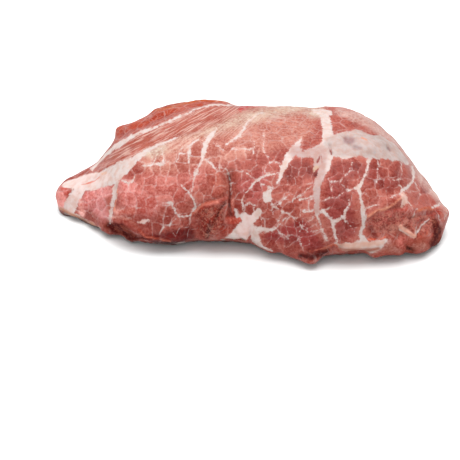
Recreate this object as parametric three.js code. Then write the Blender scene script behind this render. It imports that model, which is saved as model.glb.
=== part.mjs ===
// Pork presa: the plump oval muscle cut from between the shoulder and the loin, raw and trimmed.
// One solid. Millimetres, +Z up, +X along the long side, -Y towards the viewer.
// The cut lies on its flat underside, and the origin is under the middle of it, on the surface.
import * as THREE from 'three';

// ---------------------------------------------------------------- driving dimensions, mm
const LEFT_TIP = -118; // where the thin end stops
const RIGHT_TIP = 111; // where the blunt end stops
const LEFT_ROUND = 7; // how far the thin end takes to round off
const RIGHT_ROUND = 9; // the same at the blunt end
const LEFT_ROUND_HEIGHT = 8; // height of the very tip of the thin end
const RIGHT_ROUND_HEIGHT = 12; // height of the very tip of the blunt end
const SINK = 1.6; // how far the soft underside is pressed flat

// The cut is described by cross-sections along its length. Each one gives the front and back
// edges with the height where they bulge most, and the top with the place where it is highest.
const SECTIONS = [
  { x: -118, front: 0, frontZ: 9, back: 17, backZ: 9, top: 17, topY: 9 },
  { x: -105, front: -6, frontZ: 10, back: 27, backZ: 12, top: 21, topY: 10 },
  { x: -92, front: -19.5, frontZ: 11, back: 36, backZ: 14, top: 28.5, topY: 12 },
  { x: -80, front: -33, frontZ: 13, back: 50, backZ: 22, top: 43, topY: 16 },
  { x: -60, front: -45, frontZ: 16, back: 57, backZ: 27, top: 54, topY: 18 },
  { x: -32, front: -46, frontZ: 18, back: 61, backZ: 30, top: 62, topY: 15 },
  { x: 0, front: -49, frontZ: 20, back: 60, backZ: 29, top: 60, topY: 10 },
  { x: 32, front: -60, frontZ: 20, back: 59, backZ: 27, top: 60, topY: 6 },
  { x: 60, front: -58, frontZ: 20, back: 57, backZ: 26, top: 59, topY: 3 },
  { x: 82, front: -55, frontZ: 18, back: 44, backZ: 21, top: 46.5, topY: -3 },
  { x: 100, front: -45, frontZ: 15, back: 23, backZ: 15, top: 27.5, topY: -11 },
  { x: 110, front: -35, frontZ: 13, back: 3, backZ: 13, top: 20, topY: -16 },
  { x: 114, front: -27, frontZ: 13, back: -9, backZ: 13, top: 17, topY: -18 },
];
// How square the four quarters of a cross-section are: 2 is an ellipse, more is boxier.
const SQUARENESS = { under: 3.2, front: 2.4, top: 2.3, back: 3 };

// ---------------------------------------------------------------- relief on the surface, mm
// A mark follows a line of points on the surface. It stands out by height across its width,
// or is cut in where height is negative. A pull moves the surface along x, y, z instead.
const MARKS = [
  // the thin left end
  { name: 'fat band beside the tip', width: 4, height: 0.9,
    path: [[-105, -4, 21], [-107, -5, 16], [-107, -7, 9]] },
  { name: 'ragged fringe', width: 3, height: 1.6,
    path: [[-109, -5, 6], [-99, -14, 6], [-89, -23, 7]] },
  { name: 'seam across the left cheek', width: 2.6, height: -1.1,
    path: [[-78, -26, 34], [-80, -29, 28], [-81, -31, 20], [-83, -31, 11]] },
  { name: 'lip over the left undercut', width: 3, height: 1.7,
    path: [[-82, -31, 17], [-77, -35, 18], [-71, -39, 18], [-65, -43, 15], [-59, -45, 12.5]] },
  { name: 'left undercut', width: 5, height: -3.4,
    path: [[-80, -32, 8], [-76, -36, 9], [-67, -42, 6.5], [-58, -45, 5], [-50, -46, 4]] },
  { name: 'dimple in the left cheek', width: 4, height: -1.8,
    path: [[-61, -44, 20]] },
  // the top, from the left end to the middle
  { name: 'white seam along the top', width: 3, height: 1.1,
    path: [[-95, 12, 27], [-78, 9, 46], [-66, 10, 52], [-48, 13, 58], [-30, 20, 62], [-15, 33, 60]] },
  { name: 'groove behind that seam', width: 3.5, height: -0.9,
    path: [[-80, 19, 45], [-66, 19, 52], [-48, 23, 58], [-32, 28, 61]] },
  { name: 'fat ridge in front of the membrane', width: 4.5, height: 1.1,
    path: [[-112, 4, 18], [-95, 2, 26], [-78, -9, 43], [-66, -13, 49], [-56, -9, 53]] },
  { name: 'ragged end of the back strip', width: 5, pull: [-3.6, 1, 0.8],
    path: [[-78, 32, 43]] },
  { name: 'step behind the ragged end', width: 5, height: -1.8,
    path: [[-73, 41, 44], [-66, 43, 47]] },
  { name: 'raised rim of the back strip', width: 5, height: 1.3,
    path: [[-58, 41, 51], [-43, 42, 55], [-30, 43, 57], [-16, 42, 57]] },
  { name: 'dip behind the middle', width: 4.5, height: -1.2,
    path: [[-9, 42, 56]] },
  // the front, from the left to the middle
  { name: 'smooth lobe beside the crease', width: 9, height: 1.3,
    path: [[-24, -34, 49], [-20, -40, 43]] },
  { name: 'rough dark lobe beside the crease', width: 9.5, height: 2.4,
    path: [[-24, -45, 31], [-22, -46, 20], [-26, -46, 14]] },
  { name: 'edge of the dark lobe', width: 3, height: -1.8,
    path: [[-34, -45, 32], [-34, -46, 23], [-32, -46, 13]] },
  { name: 'deep crease', width: 3.4, height: -4,
    path: [[-13.5, -36, 48], [-13.5, -42, 41], [-14, -46, 31], [-13.5, -47, 23]] },
  { name: 'notch under the fat', width: 11, height: -4.2,
    path: [[-27, -46, 7], [-12, -47, 7]] },
  { name: 'left corner of the folded fat', width: 4.5, height: 2.4,
    path: [[-11, -47, 15], [-4, -48, 12]] },
  { name: 'fold in the fat', width: 2.6, height: -2,
    path: [[-1, -48, 20], [-1, -48, 11]] },
  { name: 'right corner of the folded fat', width: 4.5, height: 2,
    path: [[1, -49, 18], [4, -50, 11], [9, -51, 8]] },
  // the lower flap in the middle
  { name: 'flap tip', width: 7.5, pull: [2, -7.5, -1],
    path: [[30, -55, 6]] },
  { name: 'flap edge', width: 6, pull: [0, -1.8, -0.4],
    path: [[12, -50, 7], [21, -51, 6]] },
  { name: 'gap above the flap', width: 3, height: -2.4,
    path: [[31, -59, 12], [38, -60, 15], [46, -60, 15]] },
  // the front, from the middle to the right
  { name: 'main seam', width: 5, height: 0.9,
    path: [[44, 30, 57], [41, -4, 60], [41, -24, 58], [38, -40, 52], [34, -50, 45], [34, -58, 35]] },
  { name: 'shelf of fat along the underside', width: 4.5, height: 2,
    path: [[46, -60, 17], [60, -58, 16.5], [73, -57, 17]] },
  { name: 'undercut below the shelf', width: 5, height: -2.6,
    path: [[40, -58, 6], [55, -56, 5], [62, -55, 5]] },
  { name: 'hanging scrap', width: 4.5, pull: [0, -3.5, -1.5],
    path: [[66, -53, 6]] },
  { name: 'lip of the torn corner', width: 3, height: 1.6,
    path: [[62, -56, 33], [71, -52, 37.5], [78, -48, 39], [83, -44, 39]] },
  { name: 'second lip of the torn corner', width: 3, height: 1.5,
    path: [[86, -48, 32], [93, -43, 30], [100, -34, 26]] },
  { name: 'torn hollow', width: 6.5, height: -3,
    path: [[66, -57, 29], [76, -56, 28], [88, -51, 25], [99, -43, 20]] },
  { name: 'lump in the torn corner', width: 5, height: 1.8,
    path: [[81, -56, 14], [83, -55, 10]] },
  { name: 'second lump in the torn corner', width: 5, height: 2.2,
    path: [[92, -50, 12], [95, -47, 9]] },
  { name: 'third lump in the torn corner', width: 4, height: 2,
    path: [[98, -46, 18]] },
  { name: 'cleft between the lumps', width: 3, height: -2,
    path: [[87, -52, 8], [87, -53, 14]] },
  { name: 'rolled tip of the right end', width: 4, height: 1,
    path: [[101, -27, 20], [108, -20, 15]] },
  { name: 'nub of the right end', width: 4.5, pull: [2, 0, 0],
    path: [[110.5, -19, 13]] },
  // the fat cap on the right shoulder
  { name: 'fat cap', width: 11, height: 1.6,
    path: [[50, -20, 58.5], [62, -15, 57], [74, -10, 53.5], [83, -10, 47.5]] },
  { name: 'dent in the fat cap', width: 3.4, height: -2.2,
    path: [[54, -15, 59], [57, -20, 58]] },
  { name: 'second dent in the fat cap', width: 3, height: -1.9,
    path: [[78, -9, 51]] },
];
const LUMP_SIZE = 19; // the soft swell of the muscle bundles
const LUMP_HEIGHT = 1.1;
const CRAG_SIZE = 7; // the uneven cut along the lower rim
const CRAG_HEIGHT = 1.5;
const CRAG_TOP = 20; // no crags above this height,
const CRAG_FULL = 7; // all of them below this one,
const CRAG_FOOT = 4; // and fewer again from here down to the flat underside

// ---------------------------------------------------------------- mesh
const ROWS = 80; // along the length
const COLUMNS = { under: 12, front: 23, top: 18, back: 11 }; // round a cross-section
const QUARTER_STEPS = 120; // fine steps that a quarter is measured in
const RESTING_SHARE = 0.12; // the share of its length that the resting part gets columns for
const RESTING_HEIGHT = 0.3; // what lies lower than this rests,
const RISEN_HEIGHT = 2; // and what is higher than this doesn't

const QUARTERS = ['under', 'front', 'top', 'back'];
const COLUMN_COUNT = QUARTERS.reduce((sum, quarter) => sum + COLUMNS[quarter], 0);

function smoothstep(from, to, value) {
  const t = THREE.MathUtils.clamp((value - from) / (to - from), 0, 1);
  return t * t * (3 - 2 * t);
}

// One value of the cross-sections at x, on a smooth curve through them (cubic Hermite).
function sectionValue(x, key) {
  const last = SECTIONS.length - 1;
  const slope = (i) => {
    const a = SECTIONS[Math.max(i - 1, 0)];
    const b = SECTIONS[i];
    const c = SECTIONS[Math.min(i + 1, last)];
    if (i === 0 || i === last) return (c[key] - a[key]) / (c.x - a.x);
    const before = b.x - a.x;
    const after = c.x - b.x;
    const rise = (before * (c[key] - b[key])) / after + (after * (b[key] - a[key])) / before;
    return rise / (before + after);
  };
  let i = 0;
  while (i < last - 1 && SECTIONS[i + 1].x < x) i += 1;
  const from = SECTIONS[i];
  const to = SECTIONS[i + 1];
  const run = to.x - from.x;
  const t = (x - from.x) / run;
  const t2 = t * t;
  const t3 = t2 * t;
  return (2 * t3 - 3 * t2 + 1) * from[key] + (t3 - 2 * t2 + t) * run * slope(i)
    + (3 * t2 - 2 * t3) * to[key] + (t3 - t2) * run * slope(i + 1);
}

// Where a row stands along the length, and how far the ends have shrunk there (0 at a tip).
function rowPlace(row) {
  const leftArc = 1.5 * LEFT_ROUND;
  const rightArc = 1.5 * RIGHT_ROUND;
  const straight = RIGHT_TIP - LEFT_TIP - LEFT_ROUND - RIGHT_ROUND;
  const whole = leftArc + straight + rightArc;
  const along = (row / (ROWS - 1)) * whole;
  if (along < leftArc) {
    const turn = (along / leftArc) * (Math.PI / 2);
    const x = LEFT_TIP + LEFT_ROUND * (1 - Math.cos(turn));
    return { x, scale: Math.sin(turn), tipZ: LEFT_ROUND_HEIGHT };
  }
  if (along > leftArc + straight) {
    const turn = ((whole - along) / rightArc) * (Math.PI / 2);
    const x = RIGHT_TIP - RIGHT_ROUND * (1 - Math.cos(turn));
    return { x, scale: Math.sin(turn), tipZ: RIGHT_ROUND_HEIGHT };
  }
  return { x: LEFT_TIP + LEFT_ROUND + along - leftArc, scale: 1, tipZ: 0 };
}

// A point of one quarter of a cross-section, turn running from 0 to a right angle.
function quarterPoint(quarter, s, turn) {
  const power = 2 / SQUARENESS[quarter];
  const out = Math.sin(turn) ** power;
  const back = Math.cos(turn) ** power;
  const middle = (s.front + s.back) / 2;
  if (quarter === 'under') {
    return [middle - (middle - s.front) * out, s.frontZ * (1 - back)];
  }
  if (quarter === 'front') {
    return [s.front + (s.topY - s.front) * (1 - back), s.frontZ + (s.top - s.frontZ) * out];
  }
  if (quarter === 'top') {
    return [s.topY + (s.back - s.topY) * out, s.backZ + (s.top - s.backZ) * back];
  }
  return [s.back - (s.back - middle) * (1 - back), s.backZ * (1 - out)];
}

// A quarter's columns, spread evenly along its curve, but few along the part that rests. The
// next quarter has its end point.
function quarterColumns(quarter, s) {
  const fine = [quarterPoint(quarter, s, 0)];
  const reach = [0];
  for (let k = 1; k <= QUARTER_STEPS; k += 1) {
    fine.push(quarterPoint(quarter, s, (k / QUARTER_STEPS) * (Math.PI / 2)));
    const [[y0, z0], [y1, z1]] = [fine[k - 1], fine[k]];
    const risen = smoothstep(RESTING_HEIGHT, RISEN_HEIGHT, (z0 + z1) / 2);
    const share = RESTING_SHARE + (1 - RESTING_SHARE) * risen;
    reach.push(reach[k - 1] + share * Math.hypot(y1 - y0, z1 - z0));
  }
  const columns = [];
  let k = 0;
  for (let c = 0; c < COLUMNS[quarter]; c += 1) {
    const want = (c / COLUMNS[quarter]) * reach[QUARTER_STEPS];
    while (reach[k + 1] < want) k += 1;
    const t = (want - reach[k]) / (reach[k + 1] - reach[k]);
    columns.push([0, 1].map((i) => fine[k][i] + t * (fine[k + 1][i] - fine[k][i])));
  }
  return columns;
}

// The smooth form as a grid of points: rows along the length, columns round the section.
function smoothForm() {
  const grid = [];
  for (let row = 0; row < ROWS; row += 1) {
    const { x, scale, tipZ } = rowPlace(row);
    const s = {};
    for (const key of ['front', 'frontZ', 'back', 'backZ', 'top', 'topY']) s[key] = sectionValue(x, key);
    const centreY = (s.front + s.back) / 2;
    grid.push(QUARTERS.flatMap((quarter) => quarterColumns(quarter, s))
      .map(([y, z]) => new THREE.Vector3(x, centreY + scale * (y - centreY), tipZ + scale * (z - tipZ))));
  }
  return grid;
}

// ---------------------------------------------------------------- relief
// A number from 0 to 1 for each corner of a cubic lattice.
function latticeValue(i, j, k) {
  const wave = Math.sin(i * 127.1 + j * 311.7 + k * 74.7) * 43758.5453;
  return wave - Math.floor(wave);
}

// Smooth bumps of the given size, from -1 to 1.
function bumps(p, size) {
  const base = p.clone().divideScalar(size);
  const cell = base.clone().floor();
  const [u, v, w] = base.sub(cell).toArray().map((t) => t * t * (3 - 2 * t));
  let sum = 0;
  for (let corner = 0; corner < 8; corner += 1) {
    const [a, b, c] = [corner & 1, (corner >> 1) & 1, corner >> 2];
    const weight = (a ? u : 1 - u) * (b ? v : 1 - v) * (c ? w : 1 - w);
    sum += weight * latticeValue(cell.x + a, cell.y + b, cell.z + c);
  }
  return 2 * sum - 1;
}

// How near p is to a line of points: 1 on it, falling off smoothly across the width.
function nearness(p, path, width) {
  let nearest = Infinity;
  path.forEach((point, i) => {
    const from = new THREE.Vector3(...point);
    const to = new THREE.Vector3(...path[Math.min(i + 1, path.length - 1)]);
    const closest = new THREE.Line3(from, to).closestPointToPoint(p, true, new THREE.Vector3());
    nearest = Math.min(nearest, from.equals(to) ? p.distanceTo(from) : p.distanceTo(closest));
  });
  return Math.exp(-((nearest / width) ** 2));
}

function movePoint(p, normal) {
  let height = LUMP_HEIGHT * bumps(p, LUMP_SIZE);
  const ragged = smoothstep(CRAG_TOP, CRAG_FULL, p.z) * smoothstep(0, CRAG_FOOT, p.z);
  height += CRAG_HEIGHT * ragged * bumps(p, CRAG_SIZE);
  const moved = p.clone();
  for (const mark of MARKS) {
    const near = nearness(p, mark.path, mark.width);
    if (mark.pull) moved.addScaledVector(new THREE.Vector3(...mark.pull), near);
    else height += mark.height * near;
  }
  return moved.addScaledVector(normal, height);
}

// The outward direction at each point of the grid, from its neighbours.
function gridNormals(grid) {
  return grid.map((ring, row) => ring.map((p, column) => {
    if (row === 0) return new THREE.Vector3(-1, 0, 0);
    if (row === ROWS - 1) return new THREE.Vector3(1, 0, 0);
    const along = grid[row + 1][column].clone().sub(grid[row - 1][column]);
    const round = ring[(column + 1) % COLUMN_COUNT].clone()
      .sub(ring[(column + COLUMN_COUNT - 1) % COLUMN_COUNT]);
    return along.cross(round).normalize();
  }));
}

// ---------------------------------------------------------------- the solid
function presaGeometry() {
  const grid = smoothForm();
  const normals = gridNormals(grid);
  const points = [movePoint(grid[0][0], normals[0][0])];
  for (let row = 1; row < ROWS - 1; row += 1) {
    grid[row].forEach((p, column) => points.push(movePoint(p, normals[row][column])));
  }
  points.push(movePoint(grid[ROWS - 1][0], normals[ROWS - 1][0]));
  for (const p of points) p.z = Math.max(p.z - SINK, 0);

  const size = new THREE.Box3().setFromPoints(points);
  const centre = size.getCenter(new THREE.Vector3());
  for (const p of points) p.sub(new THREE.Vector3(centre.x, centre.y, 0));

  const index = [];
  const at = (row, column) => 1 + (row - 1) * COLUMN_COUNT + (column % COLUMN_COUNT);
  const lastPoint = points.length - 1;
  for (let column = 0; column < COLUMN_COUNT; column += 1) {
    index.push(0, at(1, column), at(1, column + 1));
    for (let row = 1; row < ROWS - 2; row += 1) {
      const [a, b] = [at(row, column), at(row, column + 1)];
      const [c, d] = [at(row + 1, column), at(row + 1, column + 1)];
      index.push(a, c, d, a, d, b);
    }
    index.push(at(ROWS - 2, column), lastPoint, at(ROWS - 2, column + 1));
  }
  const geometry = new THREE.BufferGeometry().setFromPoints(points);
  geometry.setIndex(index);
  geometry.computeVertexNormals();
  return geometry;
}

const meat = new THREE.MeshStandardMaterial({
  name: 'meat', color: 0xc4736a, roughness: 0.45, metalness: 0,
});

const presa = new THREE.Mesh(presaGeometry(), meat);
presa.name = 'presa';

const part = new THREE.Group();
part.add(presa);

export default part;
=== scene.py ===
# %% [markdown]
# # A raw pork presa
# A presa is the plump oval muscle between a pig's shoulder and its loin. This one lies on its flat
# underside, trimmed, with white fat running between the bundles of lean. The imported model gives
# its true form in simple facets. This lesson wraps it in a fine surface with its fat, lean and
# torn parts, and then sets up a pale floor, soft light and a camera.

import bpy
import numpy as np
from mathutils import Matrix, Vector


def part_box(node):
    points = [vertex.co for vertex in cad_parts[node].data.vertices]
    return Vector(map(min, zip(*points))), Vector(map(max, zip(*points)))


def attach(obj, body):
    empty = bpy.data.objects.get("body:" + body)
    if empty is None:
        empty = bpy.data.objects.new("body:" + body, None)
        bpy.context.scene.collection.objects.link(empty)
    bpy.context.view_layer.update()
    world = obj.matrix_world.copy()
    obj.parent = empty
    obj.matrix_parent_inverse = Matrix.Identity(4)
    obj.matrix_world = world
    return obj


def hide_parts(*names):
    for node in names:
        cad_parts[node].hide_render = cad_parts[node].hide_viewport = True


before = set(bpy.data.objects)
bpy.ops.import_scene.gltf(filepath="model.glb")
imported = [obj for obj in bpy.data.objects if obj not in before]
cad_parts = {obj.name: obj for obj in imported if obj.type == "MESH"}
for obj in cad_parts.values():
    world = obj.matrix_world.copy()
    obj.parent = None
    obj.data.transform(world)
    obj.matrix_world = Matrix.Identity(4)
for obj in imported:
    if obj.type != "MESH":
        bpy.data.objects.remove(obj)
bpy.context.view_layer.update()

MM = 0.001
low, high = (np.array(corner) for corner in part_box("presa"))
print("the presa measures", np.round((high - low) / MM, 1), "mm")

# %% [markdown]
# ## The plump form
# Meat has no straight edge to build from, so its form is a skin stretched over cross-sections.
# Each section is given by the front and back edges, the height at which they bulge, and the top.
# These are the same named sizes that the solid is made from. The alternative, sculpting by hand,
# would leave no sizes that can be read or changed.

# %% Cross-sections along the length, in millimetres
LEFT_TIP, RIGHT_TIP = -118, 111
LEFT_ROUND, RIGHT_ROUND = 7, 9
LEFT_ROUND_HEIGHT, RIGHT_ROUND_HEIGHT = 8, 12
SINK = 1.6
SECTION_X = [-118, -105, -92, -80, -60, -32, 0, 32, 60, 82, 100, 110, 114]
SECTION = {
    "front": [0, -6, -19.5, -33, -45, -46, -49, -60, -58, -55, -45, -35, -27],
    "front_z": [9, 10, 11, 13, 16, 18, 20, 20, 20, 18, 15, 13, 13],
    "back": [17, 27, 36, 50, 57, 61, 60, 59, 57, 44, 23, 3, -9],
    "back_z": [9, 12, 14, 22, 27, 30, 29, 27, 26, 21, 15, 13, 13],
    "top": [17, 21, 28.5, 43, 54, 62, 60, 60, 59, 46.5, 27.5, 20, 17],
    "top_y": [9, 10, 12, 16, 18, 15, 10, 6, 3, -3, -11, -16, -18],
}
print("the sections run from", SECTION_X[0], "to", SECTION_X[-1], "mm")

# %% [markdown]
# Between the sections the sizes follow a smooth curve. A straight line between them would leave a
# corner at every section, and meat has none. At the two tips the sections shrink to a point along
# a round end, with more rows there than along the straight middle, because the form turns faster.

# %% From section to section
ROWS = 384
ARC_ROWS = 1.5


def smoothstep(start, stop, value):
    """0 before start and 1 after stop, with an S-shaped ramp 3t^2 - 2t^3 in between."""
    t = np.clip((value - start) / (stop - start), 0, 1)
    return t * t * (3 - 2 * t)


def along_sections(x, values):
    """A cubic Hermite curve through the section values, its slopes taken from the neighbours."""
    xs, values = np.array(SECTION_X, float), np.array(values, float)
    slopes = np.gradient(values, xs)
    i = np.clip(np.searchsorted(xs, x) - 1, 0, len(xs) - 2)
    run = xs[i + 1] - xs[i]
    t = (x - xs[i]) / run
    return ((2 * t**3 - 3 * t**2 + 1) * values[i] + (t**3 - 2 * t**2 + t) * run * slopes[i]
            + (3 * t**2 - 2 * t**3) * values[i + 1] + (t**3 - t**2) * run * slopes[i + 1])


def row_places(count):
    """x, the shrink (0 at a tip, 1 between the rounded ends) and the tip height of every row.
    At the ends x = end -+ round * (1 - cos a) and the shrink is sin a, a quarter turn each."""
    left_arc, right_arc = ARC_ROWS * LEFT_ROUND, ARC_ROWS * RIGHT_ROUND
    straight = RIGHT_TIP - LEFT_TIP - LEFT_ROUND - RIGHT_ROUND
    along = np.linspace(0, left_arc + straight + right_arc, count)
    left_turn = np.clip(along / left_arc, 0, 1) * np.pi / 2
    right_turn = np.clip((along[-1] - along) / right_arc, 0, 1) * np.pi / 2
    x = LEFT_TIP + LEFT_ROUND * (1 - np.cos(left_turn)) + np.clip(along - left_arc, 0, straight)
    x = np.where(right_turn < np.pi / 2, RIGHT_TIP - RIGHT_ROUND * (1 - np.cos(right_turn)), x)
    tip_height = np.where(along < along[-1] / 2, LEFT_ROUND_HEIGHT, RIGHT_ROUND_HEIGHT)
    return x, np.sin(left_turn) * np.sin(right_turn), tip_height


print("the rows run from", row_places(ROWS)[0].min(), "to", row_places(ROWS)[0].max(), "mm")

# %% [markdown]
# Round each section the outline is four quarters of a superellipse, which is a circle made boxier
# or rounder by one number. So the underside can be flat while the top stays plump. The columns of
# a quarter are spread evenly along it. Most of them go to the front and the top, where the fat
# is seen from near by, and few to the part that rests on the floor.

# %% Round each section
SQUARENESS = {"under": 3.2, "front": 2.4, "top": 2.3, "back": 3.0}
COLUMNS = {"under": 40, "front": 112, "top": 78, "back": 28}
QUARTER_STEPS = 160
RESTING_SHARE, RESTING_HEIGHT = 0.12, (0.3, 2)


def quarter(name, s, turn):
    """y and z of one quarter of every section. out = sin(turn)^(2/p) and back = cos(turn)^(2/p)
    carry a point from one end of the quarter to the other."""
    power = 2 / SQUARENESS[name]
    out, back = np.sin(turn) ** power, np.cos(turn) ** power
    middle = (s["front"] + s["back"]) / 2
    if name == "under":
        y = middle - (middle - s["front"]) * out
        z = s["front_z"] * (1 - back)
    elif name == "front":
        y = s["front"] + (s["top_y"] - s["front"]) * (1 - back)
        z = s["front_z"] + (s["top"] - s["front_z"]) * out
    elif name == "top":
        y = s["top_y"] + (s["back"] - s["top_y"]) * out
        z = s["back_z"] + (s["top"] - s["back_z"]) * back
    else:
        y = s["back"] - (s["back"] - middle) * (1 - back)
        z = s["back_z"] * (1 - out)
    return y, z


def evenly(y, z, count):
    """The curves y, z (one a row) sampled at count even steps of their own length, end left off. The
    part that rests on the floor counts for a small share of its length, as nobody sees it."""
    lifted = smoothstep(*RESTING_HEIGHT, (z[:, 1:] + z[:, :-1]) / 2)
    step = np.hypot(np.diff(y, axis=1), np.diff(z, axis=1)) * (RESTING_SHARE + (1 - RESTING_SHARE) * lifted)
    reach = np.hstack([np.zeros((len(y), 1)), np.cumsum(step, axis=1)])
    want = np.arange(count) / count * reach[:, -1:]
    before = np.clip((reach[:, None, :] <= want[:, :, None]).sum(2) - 1, 0, y.shape[1] - 2)
    starts, stops = (np.take_along_axis(reach, before + n, 1) for n in (0, 1))
    t = (want - starts) / np.maximum(stops - starts, 1e-9)
    return [np.take_along_axis(a, before, 1) * (1 - t) + np.take_along_axis(a, before + 1, 1) * t
            for a in (y, z)]


print("each section has", sum(COLUMNS.values()), "points")

# %% [markdown]
# A grid of points is the plainest way to hold such a form: rows along it, columns round it. Its
# outward directions come from the grid itself, as the cross product of the two steps at a point.

# %% The smooth form
def smooth_form(count):
    """The grid of points (rows, columns, xyz): every section shrunk towards its middle at the ends."""
    x, shrink, tip_z = (a[:, None] for a in row_places(count))
    s = {name: along_sections(x, values) for name, values in SECTION.items()}
    turn = np.linspace(0, np.pi / 2, QUARTER_STEPS)[None, :]
    parts = [evenly(*quarter(name, s, turn), COLUMNS[name]) for name in COLUMNS]
    y, z = (np.hstack([part[i] for part in parts]) for i in (0, 1))
    middle = (s["front"] + s["back"]) / 2
    y, z = middle + shrink * (y - middle), tip_z + shrink * (z - tip_z)
    return np.stack([np.broadcast_to(x, y.shape), y, z], axis=2)


def grid_normals(grid):
    """The outward direction at each point: the cross product of the steps along and round."""
    along = np.gradient(grid, axis=0)
    around = np.roll(grid, -1, axis=1) - np.roll(grid, 1, axis=1)
    out = np.cross(along, around)
    out[0], out[-1] = [-1, 0, 0], [1, 0, 0]
    return out / np.linalg.norm(out, axis=2, keepdims=True)


form = smooth_form(ROWS)
normals = grid_normals(form)
print("the skin has", form.shape[0], "rows of", form.shape[1], "points")

# %% [markdown]
# ## Relief that the knife and the muscles leave
# The cut isn't smooth. It has a deep crease where two muscles meet, a torn corner, folds of fat,
# an undercut with a lip, and a flap that hangs out at the front. Each is a mark: a line of points
# on the surface with a width and a height. A bell curve of the distance to that line lifts or
# sinks the skin, which keeps every mark soft at its edges and easy to move.

# %% Marks, in millimetres: (width, height or pull, points on the surface)
MARKS = {
    "fat band beside the tip": (4, 0.9, [(-105, -4, 21), (-107, -5, 16), (-107, -7, 9)]),
    "ragged fringe": (3, 1.6, [(-109, -5, 6), (-99, -14, 6), (-89, -23, 7)]),
    "seam across the left cheek": (2.6, -1.1, [
        (-78, -26, 34), (-80, -29, 28), (-81, -31, 20), (-83, -31, 11)]),
    "lip over the left undercut": (3, 1.7, [
        (-82, -31, 17), (-77, -35, 18), (-71, -39, 18), (-65, -43, 15), (-59, -45, 12.5)]),
    "left undercut": (5, -3.4, [
        (-80, -32, 8), (-76, -36, 9), (-67, -42, 6.5), (-58, -45, 5), (-50, -46, 4)]),
    "dimple in the left cheek": (4, -1.8, [(-61, -44, 20)]),
    "white seam along the top": (3, 1.1, [
        (-95, 12, 27), (-78, 9, 46), (-66, 10, 52), (-48, 13, 58), (-30, 20, 62), (-15, 33, 60)]),
    "groove behind that seam": (3.5, -0.9, [(-80, 19, 45), (-66, 19, 52), (-48, 23, 58), (-32, 28, 61)]),
    "fat ridge in front of the membrane": (4.5, 1.1, [
        (-112, 4, 18), (-95, 2, 26), (-78, -9, 43), (-66, -13, 49), (-56, -9, 53)]),
    "ragged end of the back strip": (5, (-3.6, 1, 0.8), [(-78, 32, 43)]),
    "step behind the ragged end": (5, -1.8, [(-73, 41, 44), (-66, 43, 47)]),
    "raised rim of the back strip": (5, 1.3, [(-58, 41, 51), (-43, 42, 55), (-30, 43, 57), (-16, 42, 57)]),
    "dip behind the middle": (4.5, -1.2, [(-9, 42, 56)]),
    "smooth lobe beside the crease": (9, 1.3, [(-24, -34, 49), (-20, -40, 43)]),
    "rough dark lobe beside the crease": (9.5, 2.4, [(-24, -45, 31), (-22, -46, 20), (-26, -46, 14)]),
    "edge of the dark lobe": (3, -1.8, [(-34, -45, 32), (-34, -46, 23), (-32, -46, 13)]),
    "deep crease": (3.4, -4, [(-13.5, -36, 48), (-13.5, -42, 41), (-14, -46, 31), (-13.5, -47, 23)]),
    "notch under the fat": (11, -4.2, [(-27, -46, 7), (-12, -47, 7)]),
    "left corner of the folded fat": (4.5, 2.4, [(-11, -47, 15), (-4, -48, 12)]),
    "fold in the fat": (2.6, -2, [(-1, -48, 20), (-1, -48, 11)]),
    "right corner of the folded fat": (4.5, 2, [(1, -49, 18), (4, -50, 11), (9, -51, 8)]),
    "flap tip": (7.5, (2, -7.5, -1), [(30, -55, 6)]),
    "flap edge": (6, (0, -1.8, -0.4), [(12, -50, 7), (21, -51, 6)]),
    "gap above the flap": (3, -2.4, [(31, -59, 12), (38, -60, 15), (46, -60, 15)]),
    "main seam": (5, 0.9, [
        (44, 30, 57), (41, -4, 60), (41, -24, 58), (38, -40, 52), (34, -50, 45), (34, -58, 35)]),
    "shelf of fat along the underside": (4.5, 2, [(46, -60, 17), (60, -58, 16.5), (73, -57, 17)]),
    "undercut below the shelf": (5, -2.6, [(40, -58, 6), (55, -56, 5), (62, -55, 5)]),
    "hanging scrap": (4.5, (0, -3.5, -1.5), [(66, -53, 6)]),
    "lip of the torn corner": (3, 1.6, [(62, -56, 33), (71, -52, 37.5), (78, -48, 39), (83, -44, 39)]),
    "second lip of the torn corner": (3, 1.5, [(86, -48, 32), (93, -43, 30), (100, -34, 26)]),
    "torn hollow": (6.5, -3, [(66, -57, 29), (76, -56, 28), (88, -51, 25), (99, -43, 20)]),
    "lump in the torn corner": (5, 1.8, [(81, -56, 14), (83, -55, 10)]),
    "second lump in the torn corner": (5, 2.2, [(92, -50, 12), (95, -47, 9)]),
    "third lump in the torn corner": (4, 2, [(98, -46, 18)]),
    "cleft between the lumps": (3, -2, [(87, -52, 8), (87, -53, 14)]),
    "rolled tip of the right end": (4, 1, [(101, -27, 20), (108, -20, 15)]),
    "nub of the right end": (4.5, (2, 0, 0), [(110.5, -19, 13)]),
    "fat cap": (11, 1.6, [(50, -20, 58.5), (62, -15, 57), (74, -10, 53.5), (83, -10, 47.5)]),
    "dent in the fat cap": (3.4, -2.2, [(54, -15, 59), (57, -20, 58)]),
    "second dent in the fat cap": (3, -1.9, [(78, -9, 51)]),
}
print(len(MARKS), "marks")

# %% [markdown]
# Between the marks the skin is uneven too: low lumps all over, and small crags along the lower
# rim, where the knife went through. They come from a formula, not from a random generator, so the
# solid can have exactly the same ones. Blender's Displace modifier would give bumps of its own.

# %% Bumps and distances
LATTICE = 127.1, 311.7, 74.7
SCATTER = 43758.5453


def fraction(value):
    """What is left of a number after its whole part."""
    return value - np.floor(value)


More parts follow.
